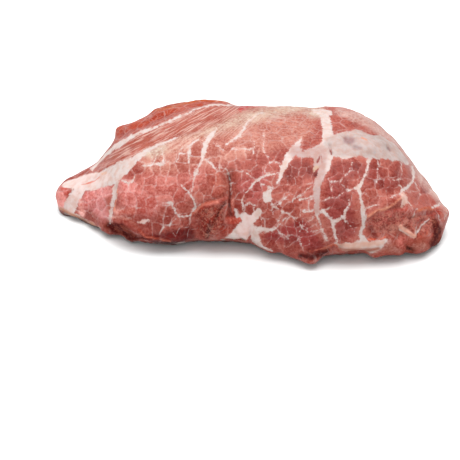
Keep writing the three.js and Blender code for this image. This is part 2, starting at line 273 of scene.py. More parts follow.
def bumps(points, size):
    """Smooth random bumps from -1 to 1: each corner (i, j, k) of a lattice of the given size has the
    number fract(43758.5453 sin(127.1 i + 311.7 j + 74.7 k)), blended by an S-shaped ramp."""
    cell = np.floor(points / size)
    eased = smoothstep(0, 1, points / size - cell)
    total = 0
    for corner in np.ndindex(2, 2, 2):
        i, j, k = np.moveaxis(cell + corner, -1, 0)
        number = fraction(np.sin(i * LATTICE[0] + j * LATTICE[1] + k * LATTICE[2]) * SCATTER)
        total = total + np.prod(np.where(np.array(corner, bool), eased, 1 - eased), axis=-1) * number
    return 2 * total - 1


def line_distance(points, line):
    """The distance from every point to a line of points, and how far along it (0, 1, 2 ...) the
    nearest place is: each point is projected onto every stretch, no further than its ends."""
    line = np.array(line, float)
    stretches = list(zip(line[:-1], line[1:])) or [(line[0], line[0])]
    nearest, place = np.full(points.shape[:-1], np.inf), np.zeros(points.shape[:-1])
    for n, (start, stop) in enumerate(stretches):
        step = stop - start
        t = np.clip((points - start) @ step / max(step @ step, 1e-9), 0, 1)
        gap = np.linalg.norm(points - start - t[..., None] * step, axis=-1)
        place = np.where(gap < nearest, n + t, place)
        nearest = np.minimum(gap, nearest)
    return nearest, place


print("bumps at three places:", bumps(np.diag([5.0, 15.0, 25.0]), 10).round(2))

# %% [markdown]
# The lines are laid over the smooth form, and the skin is lifted along its outward direction.
# Where a mark has a pull instead of a height, as the flap has, the skin is drawn that way. Last,
# the form sinks a little into the floor, which presses the underside flat as the weight does.

# %% The marked skin
LUMP_SIZE, LUMP_HEIGHT = 19, 1.1
CRAG_SIZE, CRAG_HEIGHT = 7, 1.5
CRAG_TOP, CRAG_FULL, CRAG_FOOT = 20, 7, 4


def marked(points, normals):
    """The points moved by every mark: height times exp(-(distance / width)^2) along the normal, or
    the pull itself, plus lumps all over and crags along the lower rim."""
    height = LUMP_HEIGHT * bumps(points, LUMP_SIZE)
    z = points[..., 2]
    ragged = smoothstep(CRAG_TOP, CRAG_FULL, z) * smoothstep(0, CRAG_FOOT, z)
    height += CRAG_HEIGHT * ragged * bumps(points, CRAG_SIZE)
    moved = points.copy()
    for width, lift, line in MARKS.values():
        near = np.exp(-(line_distance(points, line)[0] / width) ** 2)
        if np.ndim(lift):
            moved += near[..., None] * np.array(lift, float)
        else:
            height += lift * near
    return moved + height[..., None] * normals


skin = marked(form, normals)
pressed = skin * [1, 1, 0] + np.maximum(skin[..., 2:] - SINK, 0) * [0, 0, 1]
centre = (pressed.min((0, 1)) + pressed.max((0, 1))) / 2 * [1, 1, 0]
print("the middle of the form lies at", np.round(centre, 2), "mm from its own zero")

# %% [markdown]
# ## The viewpoint
# The photo looks down on the cut from the front at about thirty degrees, through a long lens, so
# that it shows both the front and the top. The camera comes early here, because the fat is placed
# by what that view shows: a place in the 460 by 460 picture is carried back onto the skin.

# %% Camera
PICTURE = 460
MM_PER_PIXEL = 0.6
TILT = np.radians(30)
LENS, SENSOR = 100, 36
ZERO_SHOWS_AT = np.array([252.5, 218.0])

ahead = np.array([0, np.cos(TILT), -np.sin(TILT)])
up = np.array([0, np.sin(TILT), np.cos(TILT)])
right = np.array([1.0, 0, 0])
off_middle = (ZERO_SHOWS_AT - PICTURE / 2) * MM_PER_PIXEL
distance = PICTURE * MM_PER_PIXEL * LENS / SENSOR
eye = -off_middle[0] * right + off_middle[1] * up - distance * ahead


def in_picture(points):
    """Where points of the form show, in pixels: offsets along the camera's right and up over the
    depth ahead of it, times the lens."""
    offset = points - eye
    scale = PICTURE * LENS / SENSOR / (offset @ ahead)
    return np.stack([PICTURE / 2 + scale * (offset @ right), PICTURE / 2 - scale * (offset @ up)], -1)


camera_data = bpy.data.cameras.new("photo_view")
camera_data.lens, camera_data.sensor_width = LENS, SENSOR
camera_data.clip_end = 10
camera = bpy.data.objects.new("photo_view", camera_data)
bpy.context.scene.collection.objects.link(camera)
camera.location = (eye - centre - [0, 0, SINK]) * MM
camera.rotation_euler = (np.pi / 2 - TILT, 0, 0)
bpy.context.scene.camera = camera
print("the camera stands", round(distance), "mm away")

# %% [markdown]
# ## Where the fat runs
# The fat is what makes a presa. It lies in thick seams between muscles, in patches on the outside,
# and in a net of veins between the bundles of lean. It could be painted on a picture wrapped round
# the form. Here it is a list of lines instead, each of places in the photo's picture with the half
# width there, because lines stay sharp at any size. They are carried onto the skin.

# %% Thick seams and patches of fat: (x, y, half width) in pixels of the picture
FAT = {
    "left band": [
        (64, 184, 3), (72, 184, 5), (81, 184, 8), (92, 181.5, 9.5), (102, 178.5, 9.5), (112, 175, 9.5),
        (121, 168.5, 7.5), (130, 162.5, 5), (138, 156.5, 3.6), (146, 151, 2.6), (153, 147.5, 1.8),
        (161, 144.5, 1.6), (170, 140, 1.1), (179, 136.5, 0.6)],
    "band down the tip": [(79, 191, 6), (74, 198, 5.4), (70, 206, 6.4), (70, 213, 5.4)],
    "fringe of the tip": [
        (61, 208, 1.6), (66, 211, 2), (73, 214.5, 2.2), (80, 217, 1.8), (87, 222, 2.2), (94, 225.5, 1.6),
        (100, 228, 0.8)],
    "patch low on the cheek": [(139, 222, 1.2), (143.5, 221.5, 2.4), (149, 219.5, 1.2)],
    "top seam": [
        (92, 169, 2.5), (98, 162, 3), (105, 155, 3.4), (112, 149, 3.8), (118, 145, 3.3), (124, 141, 2.6),
        (131, 137, 2.2), (138, 134, 2.5), (145, 131, 2.4), (151, 129, 1.8), (158, 126, 1.2),
        (172, 120.5, 1.2), (180, 116, 1.3), (197, 109, 1), (206, 106, 1.2), (215, 104.5, 1.6),
        (228, 104.5, 1.5), (236, 106, 0.7)],
    "cheek seam": [
        (118, 182, 2), (115, 188, 2.2), (113.5, 196, 2.2), (112, 205, 1.8), (110.5, 214, 1.4),
        (110, 224, 0.9)],
    "upper left seam": [
        (216, 128, 0.6), (212, 134, 2.2), (208, 141, 3), (205, 148, 3), (203.5, 155, 2.4), (202, 161, 1.4),
        (198, 169, 1.3), (195, 175, 2)],
    "upper middle seam": [
        (263, 112, 0.6), (255, 116, 0.9), (248, 122, 1.2), (243, 130, 1.6), (240, 136, 1.9),
        (232, 140, 1.2), (226, 145, 0.8)],
    "diagonal seam": [
        (302, 138, 0.8), (298, 145, 3.2), (292, 153, 4.4), (287, 159, 4.2), (284, 166, 3.6),
        (281, 173, 2.8), (279.5, 180, 1.4)],
    "bridge": [(296, 151, 4.5), (304, 154.5, 2.8), (312, 153, 4.6), (320, 150, 6)],
    "main seam": [
        (314, 111, 3), (322, 111, 5), (325, 117, 5), (327, 125, 5.2), (328, 135, 5.6), (328, 145, 6.2),
        (327, 155, 6), (325.5, 165, 5.2), (321, 174, 4.4), (318, 182, 4), (317, 190, 4), (316, 198, 3.4),
        (316.5, 206, 3.2), (317, 212, 2.8), (318.5, 219, 1.2), (321.5, 228, 0.8), (324, 234, 1.1),
        (326.5, 240, 1.8)],
    "top of the main seam": [(313, 110, 2.4), (322, 111, 4.5), (330, 112.5, 3.4)],
    "fat cap": [
        (331, 146, 11), (345, 146, 14), (357, 143, 13), (368, 145, 13), (380, 146, 14), (392, 150, 11),
        (401, 157, 7), (408, 164, 3)],
    "folded patch": [
        (258, 211.5, 3.4), (256, 215, 4.4), (249, 219, 7), (245, 228, 9.5), (239, 236, 8), (232, 240, 4)],
    "left arm of the patch": [(236, 210, 1.6), (238, 216, 2.4), (246, 217, 4)],
    "right fold of the patch": [
        (254, 230, 4.5), (255, 238, 5), (257, 243, 4.2), (262, 247, 2), (273, 250.5, 0.8)],
    "right arm of the patch": [(259, 229, 2.6), (266, 230, 2.4), (273, 229.5, 1.6)],
    "left corner of the patch": [(238, 230, 4), (231, 236, 2.6), (225, 238.5, 1)],
    "foot of the diagonal seam": [(279.5, 180, 1.4), (276, 184, 0.8)],
    "blob above the patch": [(271, 189.5, 1.4), (267.5, 195.5, 5.4), (266.5, 199, 4.8), (265, 203, 0.8)],
    "cream corner": [(317, 157, 5), (317.5, 163, 4), (315.5, 168, 2.6), (313.5, 172, 1)],
    "right seam": [
        (370, 157, 2.5), (368, 166, 1.5), (366, 174, 1.4), (362, 182, 1.6), (358, 188, 2.6),
        (361, 195, 1.8), (361, 203, 1.8), (363, 211, 2.6), (364, 219, 2.4), (363, 227, 1.7),
        (361, 235, 2.2), (364, 241, 3.5)],
    "underside shelf": [
        (335, 243, 0.8), (341, 246.5, 3), (347, 247, 4.4), (353, 247.5, 5), (359, 246, 5.8),
        (365, 246, 7.4), (370, 248, 6), (376, 246, 5.6), (381, 243, 3.4), (387, 239.5, 1.4)],
    "far right seam": [
        (412, 166, 1.6), (414, 173, 2.4), (413, 181, 2), (408, 186, 1.8), (403, 190, 2.2),
        (401, 194, 1.4)],
    "rim of the rolled tip": [
        (433, 207, 1.2), (439.5, 204, 2), (444.5, 208, 1.4), (447, 214, 1.2), (444.5, 219, 1)],
    "patch on the lip": [(404, 195.5, 3), (405, 200.5, 3.4), (403.5, 205, 1.8)],
    "scrap of fat": [(400, 226, 2), (402, 229, 3.4), (406, 231, 3), (409, 233.5, 3.2), (414, 236.5, 2)],
    "strand": [(413.5, 236, 1), (414.5, 231, 1), (416, 225, 0.7)],
    "second strand": [(414, 235, 1), (417, 230.5, 1.1), (421, 226, 1.1), (428.5, 219.5, 0.8)],
    "strand inside the rolled tip": [(437.5, 211, 0.6), (440, 215, 1), (441.5, 220, 0.8)],
}
LEAN_IN_FAT = {
    "lobe in the folded patch": [(224, 222, 4.5), (232, 221, 3.6), (239, 220.5, 2.6)],
    "upper nodule": [(249, 210, 4.4)],
    "right nodule": [(259.5, 222, 3.4)],
}
print(len(FAT), "seams and patches of fat,", len(LEAN_IN_FAT), "spots of lean in them")

# %% [markdown]
# Veins leave the seams and fork between the bundles. They are thinner, and there are many, so they
# are grouped by the part of the cut that they run through.

# %% Veins: (x, y, half width) in pixels of the picture
VEINS = {
    "beside the left band": [
        [(122, 180, 1.2), (127, 182, 2), (131, 182, 1.2), (134, 177, 0.7)]],
    "below the left band": [
        [(143, 166, 1), (152, 165, 1.4), (160, 164, 1.6), (164, 164.5, 1.8), (168, 162, 0.8)],
        [(164, 164, 1.6), (163, 157, 1), (161.5, 148, 0.8)],
        [(152, 165, 0.9), (155, 158, 0.8), (157, 152, 0.7)]],
    "left of the upper left seam": [
        [(181, 148, 1.1), (186, 148.5, 1.3), (190, 146, 1.6), (194, 142, 1.8), (198, 139, 1)],
        [(190, 146, 1.6), (189.5, 153, 1.8), (189, 161, 1.2), (189, 171, 0.7), (190, 180, 0.5)],
        [(181, 152.5, 0.7), (186, 153, 0.9), (190, 152, 0.7)],
        [(182, 148, 0.9), (178, 156, 0.8), (176, 163, 0.6)]],
    "low on the left half": [
        [
            (182, 185, 1.1), (187.5, 191, 1.1), (191, 196, 1.2), (194.4, 202, 1.2), (195.5, 207, 1.6),
            (192.5, 212, 1.4), (190, 216, 1.4), (184, 216, 1.2), (178, 216, 1.3), (173, 207, 1.3),
            (171, 202, 1.6), (165.5, 204, 1), (161, 201.7, 0.8)],
        [(195, 175, 1.2), (193, 184, 0.7), (192, 196, 0.8)],
        [(190, 217, 0.7), (189, 223, 0.5), (185, 228, 0.7), (179, 226, 0.5)],
        [(178, 216, 0.6), (173, 220.5, 0.5), (170, 226, 0.6), (165.5, 224, 0.5), (161, 232, 0.4)],
        [(195.5, 207, 1), (200, 205, 0.7)]],
    "over the orange lobe": [
        [
            (205, 160, 1), (211, 162.5, 1), (213.5, 168.5, 0.9), (220, 167.5, 0.9), (226, 169, 0.9),
            (229.5, 175, 1), (231, 184, 1), (231, 194, 0.8)],
        [(214, 144, 0.8), (220, 147.5, 0.9), (223.5, 151, 0.6)]],
    "high in the middle": [
        [(232, 149.5, 0.6), (238, 149, 1), (246, 148.5, 0.9), (254, 148.5, 1)],
        [(254, 142, 0.5), (254, 153, 0.6)],
        [(264, 132, 0.6), (263.7, 140, 0.8), (264, 151, 0.8), (267, 156, 0.8), (271, 158, 0.7)]],
    "from the diagonal seam to the folded patch": [
        [(264, 170, 0.7), (266.5, 164, 0.8), (271, 161.5, 0.8), (276, 161.5, 0.7), (280, 166, 0.8)],
        [(264, 170, 0.8), (266, 174, 0.9), (272, 174.5, 1.2), (279, 172, 1.3)],
        [
            (279, 172.5, 1.2), (270, 175, 1.3), (262, 178, 1.4), (255, 181, 1.4), (250, 188, 1),
            (244.5, 194, 0.9), (242, 201, 0.9), (242.5, 210, 1.3)],
        [(255, 181, 1), (252, 177, 0.8), (247, 173, 0.7), (240, 170, 0.5)],
        [(262, 184, 0.7), (267, 186, 1.2), (272, 188, 1.6)],
        [(244, 205, 0.7), (249, 203.5, 0.8), (254, 206, 0.8), (254.5, 212, 1)]],
    "under the bridge": [
        [(270, 203, 1), (275, 205, 1.1), (280, 203, 1.1), (283, 199, 1), (290, 194, 0.6)],
        [(288, 205, 0.7), (294, 200, 1), (302, 194, 1.1), (310, 187.5, 1), (315, 183, 1)],
        [(299, 200, 1.4), (303, 198.5, 1.1), (312, 196.5, 0.8)],
        [(314.5, 193, 0.9), (310, 200, 0.7), (306, 208, 0.8), (303, 211, 0.7)],
        [(270, 204, 0.6), (277, 208, 0.7), (283, 211, 0.8), (280, 219, 0.9), (277, 226, 0.9)]],
    "right of the folded patch": [
        [
            (283, 211, 0.9), (289, 214.5, 1), (294, 218, 1.2), (300, 215, 1), (306, 211, 1),
            (311, 211.5, 1.2), (315, 208, 1.3)],
        [
            (259, 229, 1.6), (266, 230, 1.8), (273, 230, 1.6), (277, 227, 1.3), (282, 222, 0.9),
            (289, 216, 0.8)],
        [(261, 218, 0.7), (261, 227, 0.7)],
        [(294, 218, 0.9), (299, 222, 0.8), (302.5, 228, 0.6), (308, 221.5, 0.7), (314, 218, 0.9)],
        [(302.5, 228, 0.4), (308, 231.5, 0.7), (316, 231, 0.7), (322, 229, 0.8)],
        [(302, 229, 0.4), (299, 236, 0.6), (301, 244, 0.6)],
        [(276, 229, 0.9), (279, 234, 0.7), (286, 237, 0.7), (290, 243, 0.6)],
        [(263, 233, 0.7), (270, 232, 0.8), (279, 234, 0.7)]],
    "between the main seam and the right seam": [
        [
            (357, 188.5, 1.8), (350, 189, 1), (343, 192.5, 0.8), (338, 196.5, 0.6), (330, 197.5, 0.6),
            (322, 200.5, 0.9)],
        [(331, 181, 0.6), (332.5, 186, 0.7), (332, 192, 0.7), (330, 197, 0.6)],
        [
            (331, 181, 0.6), (337, 181, 0.5), (342, 180.5, 0.6), (345, 176.5, 0.7), (350, 171, 0.5),
            (352, 163, 0.4)],
        [(339, 181, 0.4), (343, 186, 0.5), (347, 189, 0.4)]],
    "forks below them": [
        [
            (349, 199, 0.8), (349.5, 205, 1.1), (346, 211, 1.5), (343.5, 217, 1.8), (338, 220.5, 1.8),
            (333.5, 221, 2.2)],
        [(343.5, 218, 1.4), (348, 222.5, 1), (352.5, 227, 0.9), (353.5, 231, 0.5)],
        [
            (321, 211, 1.9), (325, 213, 2), (329.5, 217, 1.8), (333.5, 221, 2.2), (334, 229, 1.9),
            (335.5, 236, 1.9), (338, 241.5, 1.8)],
        [(322, 211.5, 1.2), (328, 210, 1), (332, 207, 0.8), (334, 208.5, 0.5)]],
    "right of the right seam": [
        [(364, 208, 0.9), (370, 207, 0.7), (376, 205, 0.8), (380, 205, 0.5)],
        [(378, 161, 1.2), (378, 169, 0.6), (377.5, 177, 0.5), (376, 182, 0.3)],
        [(401, 163, 1.2), (402, 171, 0.8), (400, 179, 0.8), (394, 180, 0.8), (387, 178.5, 0.6)],
        [(401, 193, 1.1), (394, 194.5, 0.8), (389, 198, 0.7)],
        [(361, 193, 1), (365, 191, 0.6), (367, 195, 0.6)],
        [(398, 185, 0.6), (403, 187, 0.7)]],
    "round the torn corner": [
        [(415.5, 182, 1), (418.5, 189, 0.9), (420.5, 195, 0.7)],
        [(408, 201, 0.6), (412, 207, 0.7), (415, 210, 1), (414.5, 216, 0.8)],
        [(412, 209, 0.6), (419, 209, 0.6)]],
}
vein_lines = [line for group in VEINS.values() for line in group]
print(len(vein_lines), "veins")

# %% [markdown]
# The finest web of fat runs round the single bundles of lean. Listing each of its threads would
# take hundreds of lines. It is enough to say where the bundles are: each point of the skin belongs
# to the nearest bundle, and the web is the border between two of them.

# %% Middles of the bundles of lean: (x, y) in pixels of the picture
BUNDLES = {
    "left end": [
        (65, 186), (61, 199), (69, 194), (84, 197), (92, 195), (99, 190), (106, 190), (84, 207), (92, 206),
        (100, 204), (106, 212), (97, 214), (88, 217), (108, 200), (80, 218), (101, 222)],
    "left of the crease": [
        (146, 158), (157, 158), (170, 154), (139.5, 167), (148, 173), (154.5, 171.5), (164, 171),
        (172.5, 172), (182.5, 167), (184, 156.5), (184, 150.5), (195, 153), (195, 159.5), (194, 169),
        (204, 166), (210, 167), (212, 152), (224, 148), (216, 162), (224.5, 162), (231.5, 157), (231, 166),
        (127, 174), (140.5, 180), (125, 186), (131.5, 187), (138, 190), (150, 181), (162, 180), (171, 181),
        (182, 180), (148, 193), (163, 190), (173, 188), (181, 195), (188, 188), (194, 193), (190, 199),
        (184, 208), (164, 199), (162, 210), (152, 203), (154, 214), (171, 213), (161, 219), (168, 220),
        (176, 221), (184, 220), (194, 223), (157, 227), (168, 231), (183, 233), (176, 228), (194, 233),
        (122, 200), (131, 200), (141, 202), (128, 212), (142, 213), (202, 178), (210, 178), (219, 180),
        (206, 190), (219, 193), (199, 197), (209, 201), (148, 228), (124, 222)],
    "beside the folded fat": [
        (250, 155), (273, 154), (250, 165), (257, 172), (263, 161), (267.5, 170), (275.5, 166), (281, 159),
        (248, 176.5), (250, 183.5), (270, 177), (276, 180.5), (265, 186), (256.5, 186.5), (249, 194),
        (257, 196), (243, 196), (253, 201), (250, 209.5), (240.5, 205), (278.5, 190), (279, 195),
        (270.5, 205), (263, 204), (268, 213), (278, 213), (270, 222.5), (258.5, 223.5), (276.5, 208),
        (237, 221), (238, 165), (237, 178), (237, 190), (241, 156)],
    "under the bridge": [
        (288, 172), (296, 162), (305, 163), (294, 172), (302, 171), (308, 171), (317, 174), (283, 182),
        (291, 180), (297.5, 181), (306, 178), (285, 188), (294, 188), (287, 197), (284, 202), (301, 193),
        (307, 188), (309, 194), (297, 203), (304, 205), (311, 203), (287, 207.5), (296, 213), (305, 214),
        (284.5, 219.5), (292, 223), (299, 222), (308, 223), (278, 228.5), (284, 231.5), (267, 236.5),
        (275, 236), (280, 240), (273, 244), (291, 240), (291, 233), (303.5, 233), (305, 241), (312, 231),
        (315, 238), (296, 247), (310, 247)],
    "right of the main seam": [
        (326, 222), (329, 232), (325, 190), (328, 204), (333, 173), (336, 188), (333, 213), (339, 167),
        (336, 177), (347, 166), (356, 166), (363, 158.5), (354, 175), (362, 172), (344, 184), (353, 184),
        (362, 185), (347, 195), (356, 197), (339, 206), (355, 205), (353, 215), (340, 229), (351, 234),
        (348, 225), (374, 165), (374, 174), (386, 164), (383, 173), (393, 170), (405, 173), (370, 184),
        (372, 192), (379, 184), (387, 183), (394, 184), (404, 183), (381, 192), (389, 190), (397, 189),
        (367, 201), (374, 201), (382, 201), (392, 200), (414, 187), (413, 195), (424, 190), (424, 199),
        (431, 197), (336, 240), (346, 242)],
}
bundle_middles = [place for group in BUNDLES.values() for place in group]
print(len(bundle_middles), "bundles of lean")

# %% [markdown]
# ## Where the colours change
# The lean is pale and pink on top, deep red between the seams and brown where it was torn. Some
# areas are painted shade: dark under an overhang, in creases and gaps, and low near the floor. A few
# lips and cheeks are painted light, lighter where light catches them. Each area is again a thick
# line, with a soft edge. Colours are given as a screen shows them, and are mixed in the order written.

# %% Areas of lean: (colour, softness, line) in pixels of the picture
LEAN_AREAS = {
    "pale film": ((0.88, 0.76, 0.68), 9, [
        (150, 155, 6), (200, 140, 8), (245, 122, 10), (285, 113, 9), (318, 112, 6)]),
    "pale upper lean": ((0.86, 0.58, 0.51), 12, [
        (146, 164, 6), (160, 168, 12), (210, 150, 14), (260, 138, 16), (300, 128, 14)]),
    "pale film round the upper veins": ((0.92, 0.7, 0.63), 8, [
        (172, 146, 4), (190, 143, 5), (209, 142, 4)]),
    "lean of the left half": ((0.88, 0.52, 0.47), 14, [(150, 188, 14), (175, 190, 14), (198, 176, 8)]),
    "lean beside the folded fat": ((0.77, 0.39, 0.36), 10, [(246, 186, 9), (262, 178, 7), (254, 198, 6)]),
    "film on the right shoulder": ((0.89, 0.71, 0.66), 7, [
        (338, 112, 3), (370, 122, 7), (393, 138, 5), (412, 160, 4), (424, 180, 5), (440, 198, 5)]),
    "back strip": ((0.78, 0.32, 0.2), 3, [
        (117, 133, 3), (140, 122, 5), (160, 114, 5), (180, 109, 4), (200, 103, 4), (214, 101, 2)]),
    "rim of the back strip": ((0.84, 0.4, 0.11), 1.5, [
        (151, 112, 0.8), (170, 108, 1), (190, 103, 1), (200, 101, 0.8), (228, 102, 0.8), (240, 105, 0.8)]),
    "red fold on the back": ((0.84, 0.09, 0.03), 3, [(240, 110, 2), (252, 106, 1.5), (266, 106, 0.8)]),
    "left tip": ((1, 0.63, 0.59), 5, [(63, 190, 6), (62, 203, 5)]),
    "mauve cheek": ((0.92, 0.57, 0.55), 6, [(88, 200, 6), (98, 205, 8), (104, 216, 5)]),
    "left cheek": ((0.96, 0.61, 0.57), 12, [(124, 188, 10), (133, 198, 13), (148, 206, 10)]),
    # Painted light: the cheek over the lip of the undercut is lightened where light catches it.
    "lit cheek over the undercut": ((1, 0.68, 0.62), 5, [(116, 210.5, 3), (124, 212.5, 3), (132, 211, 3)]),
    # Painted shade: an orange-tan line of shade along the right side of the cheek seam.
    "shaded edge of the cheek seam": ((1, 0.57, 0.42), 1.5, [
        (117.5, 190, 0.8), (115.5, 200, 0.9), (114, 210, 0.8)]),
    # Partly painted light: the cheek beside the tip and its pale edge are lightened where more light falls
    # on the left tip.
    "cheek beside the tip": ((0.99, 0.64, 0.61), 6, [(84, 208, 4), (90, 196, 5), (105, 191, 6)]),
    "pale edge of the cheek": ((1.1, 0.8, 0.75), 4, [(80, 199, 2), (80, 206, 3), (83, 213, 3)]),
    # Painted shade: the low front and its bottom rim are darkened where the bulge above and the floor shade
    # them.
    "low front": ((0.5, 0.07, 0.03), 6, [(138, 240, 4), (155, 240, 6), (175, 237, 7), (188, 234, 7)]),
    "shaded bottom rim": ((0.23, 0.05, 0.03), 3, [(150, 243, 2), (170, 243, 2), (192, 243, 2)]),
    "deep lean beside the bridge": ((0.61, 0.25, 0.21), 8, [(288, 176, 5), (298, 168, 9), (310, 172, 6)]),
    "shadowed lean": ((0.5, 0.14, 0.12), 3, [(315, 175.5, 2), (320, 173, 2)]),
    "deep lean on the right": ((0.68, 0.3, 0.27), 8, [(335, 172, 4), (338, 205, 14), (345, 228, 12)]),
    # Painted shade: the lean under the raised fat cap is darkened where the cap shades it.
    "shaded lean under the cap": ((0.65, 0.28, 0.24), 8, [
        (343, 182, 8), (340, 170, 8), (372, 172, 8), (388, 186, 7), (398, 178, 6)]),
    "deep lean at the bottom": ((0.67, 0.25, 0.23), 7, [(270, 237, 5), (300, 232, 12), (315, 246, 8)]),
    "orange lobe": ((0.82, 0.46, 0.39), 6, [(214, 178, 7), (222, 192, 7), (226, 184, 3)]),
    "dark lobe": ((0.69, 0.23, 0.16), 4, [(202, 212, 6), (212, 216, 11), (206, 228, 9)]),
    "seat of the dark lobe": ((0.42, 0.08, 0.05), 2, [(210, 221, 1.2), (209, 228, 2.4), (207, 235, 2.4)]),
    # Painted shade in the split of the dark lobe.
    "split in the dark lobe": ((0.48, 0.12, 0.08), 1, [(225, 203, 0.4), (219, 211, 0.9), (216, 219, 0.7)]),
    "lit side of the dark lobe": ((0.68, 0.23, 0.16), 4, [(224, 222, 3), (222, 230, 4)]),
    # Partly painted highlight: the lip of the dark lobe is lighter and more orange where it catches the
    # light.
    "lip of the dark lobe": ((0.9, 0.51, 0.42), 2, [
        (194, 213, 1.2), (199, 206.5, 1.2), (208, 203, 1), (219, 200.5, 0.8)]),
    "pink rim of the crease": ((0.96, 0.6, 0.54), 2.5, [
        (226, 194, 1), (226.5, 204, 1.2), (226, 213, 1.6)]),
    "bright strip beside the crease": ((1, 0.67, 0.6), 2.5, [(232.5, 199, 1), (232.5, 211, 1.6)]),
    "lobe in the folded patch": ((0.98, 0.54, 0.46), 2, [(228, 220, 3), (239, 220, 3)]),
    "torn corner": ((0.83, 0.43, 0.38), 5, [(374, 220, 5), (388, 218, 9), (404, 216, 9), (424, 218, 8)]),
    "dark side of the torn corner": ((0.59, 0.25, 0.21), 4, [(370, 228, 3), (375, 236, 2)]),
    # Partly painted highlight: the lip of the torn corner is a light orange band where it catches the
    # light.
    "lip of the torn corner": ((1, 0.67, 0.55), 2, [
        (367, 216.5, 1), (377, 211, 1.2), (384, 209.5, 1.2), (390.5, 206.5, 1.4), (396, 202, 1.4),
        (400.5, 198, 1)]),
    "second lip": ((0.88, 0.45, 0.31), 2.5, [(418, 211, 1.5), (426, 209, 1.6), (433, 209, 1.2)]),
    "rolled tip": ((0.89, 0.57, 0.51), 3, [(437, 206, 2.5), (444, 211, 3), (445, 217, 2)]),
    "brown end": ((0.39, 0.05, 0.04), 3, [
        (434, 222, 3), (436.5, 230, 4.5), (435.5, 238, 4.5), (433, 244, 4)]),
    "fold in the rolled tip": ((0.85, 0.33, 0.25), 2, [(437, 209, 1.5), (440, 213, 1.5)]),
    "red lump": ((0.9, 0.52, 0.47), 3, [(402, 242, 5), (411, 239, 3)]),
    "upper red lump": ((0.87, 0.42, 0.34), 4, [(419, 235, 3), (429, 233.5, 3)]),
    "red edge over the shelf": ((0.98, 0.42, 0.28), 1.2, [
        (369, 239, 0.7), (377, 240.5, 0.8), (384, 237.5, 0.7)]),
    # Painted shadow in the gap between the lumps.
    "gap between the lumps": ((0.25, 0.06, 0.05), 2, [(407, 247.5, 1), (413, 251, 1)]),
    "pink lobe": ((0.83, 0.57, 0.51), 3, [(413, 247, 3), (423, 246, 4)]),
    "pink foot": ((0.82, 0.56, 0.51), 4, [(376, 251, 1.5), (386, 245, 4), (392, 248, 4), (400, 251, 2)]),
    # Partly painted shade: the raw side of the undercut is darkened where it faces the floor in shade.
    "raw and shaded side of the undercut": ((0.38, 0.04, 0.03), 3, [
        (108, 226, 3), (120, 229, 6.5), (127, 234, 5), (138, 240, 3)]),
    "lip of the undercut": ((0.85, 0.56, 0.5), 1.8, [
        (110, 218, 1.2), (120, 217.5, 1.2), (130, 219.5, 1.2), (138, 227, 0.8)]),
    "ragged rim of the low front": ((0.89, 0.5, 0.4), 1.5, [
        (139, 229, 0.8), (146, 236, 0.8), (158, 238, 0.6), (170, 241, 0.5)]),
    "red gap above the flap": ((1, 0.59, 0.48), 1.5, [
        (310, 252, 0.8), (322, 250, 1), (334, 245, 2), (342, 247, 1)]),
    # Partly painted shade: the flap at the bottom is darkened where it lies in shade by the floor.
    "flap": ((0.39, 0.08, 0.05), 3, [(300, 255, 2), (312, 257, 3), (328, 251, 1.5)]),
    # Painted shade in the crease.
    "crease": ((0.5, 0.14, 0.1), 1, [
        (230, 176, 0.4), (229.5, 190, 0.6), (229, 200, 1), (229.5, 208, 0.8)]),
    "slits in the fat": ((0.35, 0.08, 0.06), 0.8, [(330, 145, 0.2), (330, 150, 0.5), (330.5, 154, 0.5)]),
}
print(len(LEAN_AREAS), "areas of lean")

# %% [markdown]
# Fat isn't one white either. Where it is thick it is creamy, over the muscle it is grey and
# dented, and its edges are blushed with red. Other areas aren't a matter of colour: the thin
# membrane at the back, and the places where the surface is torn and rough.

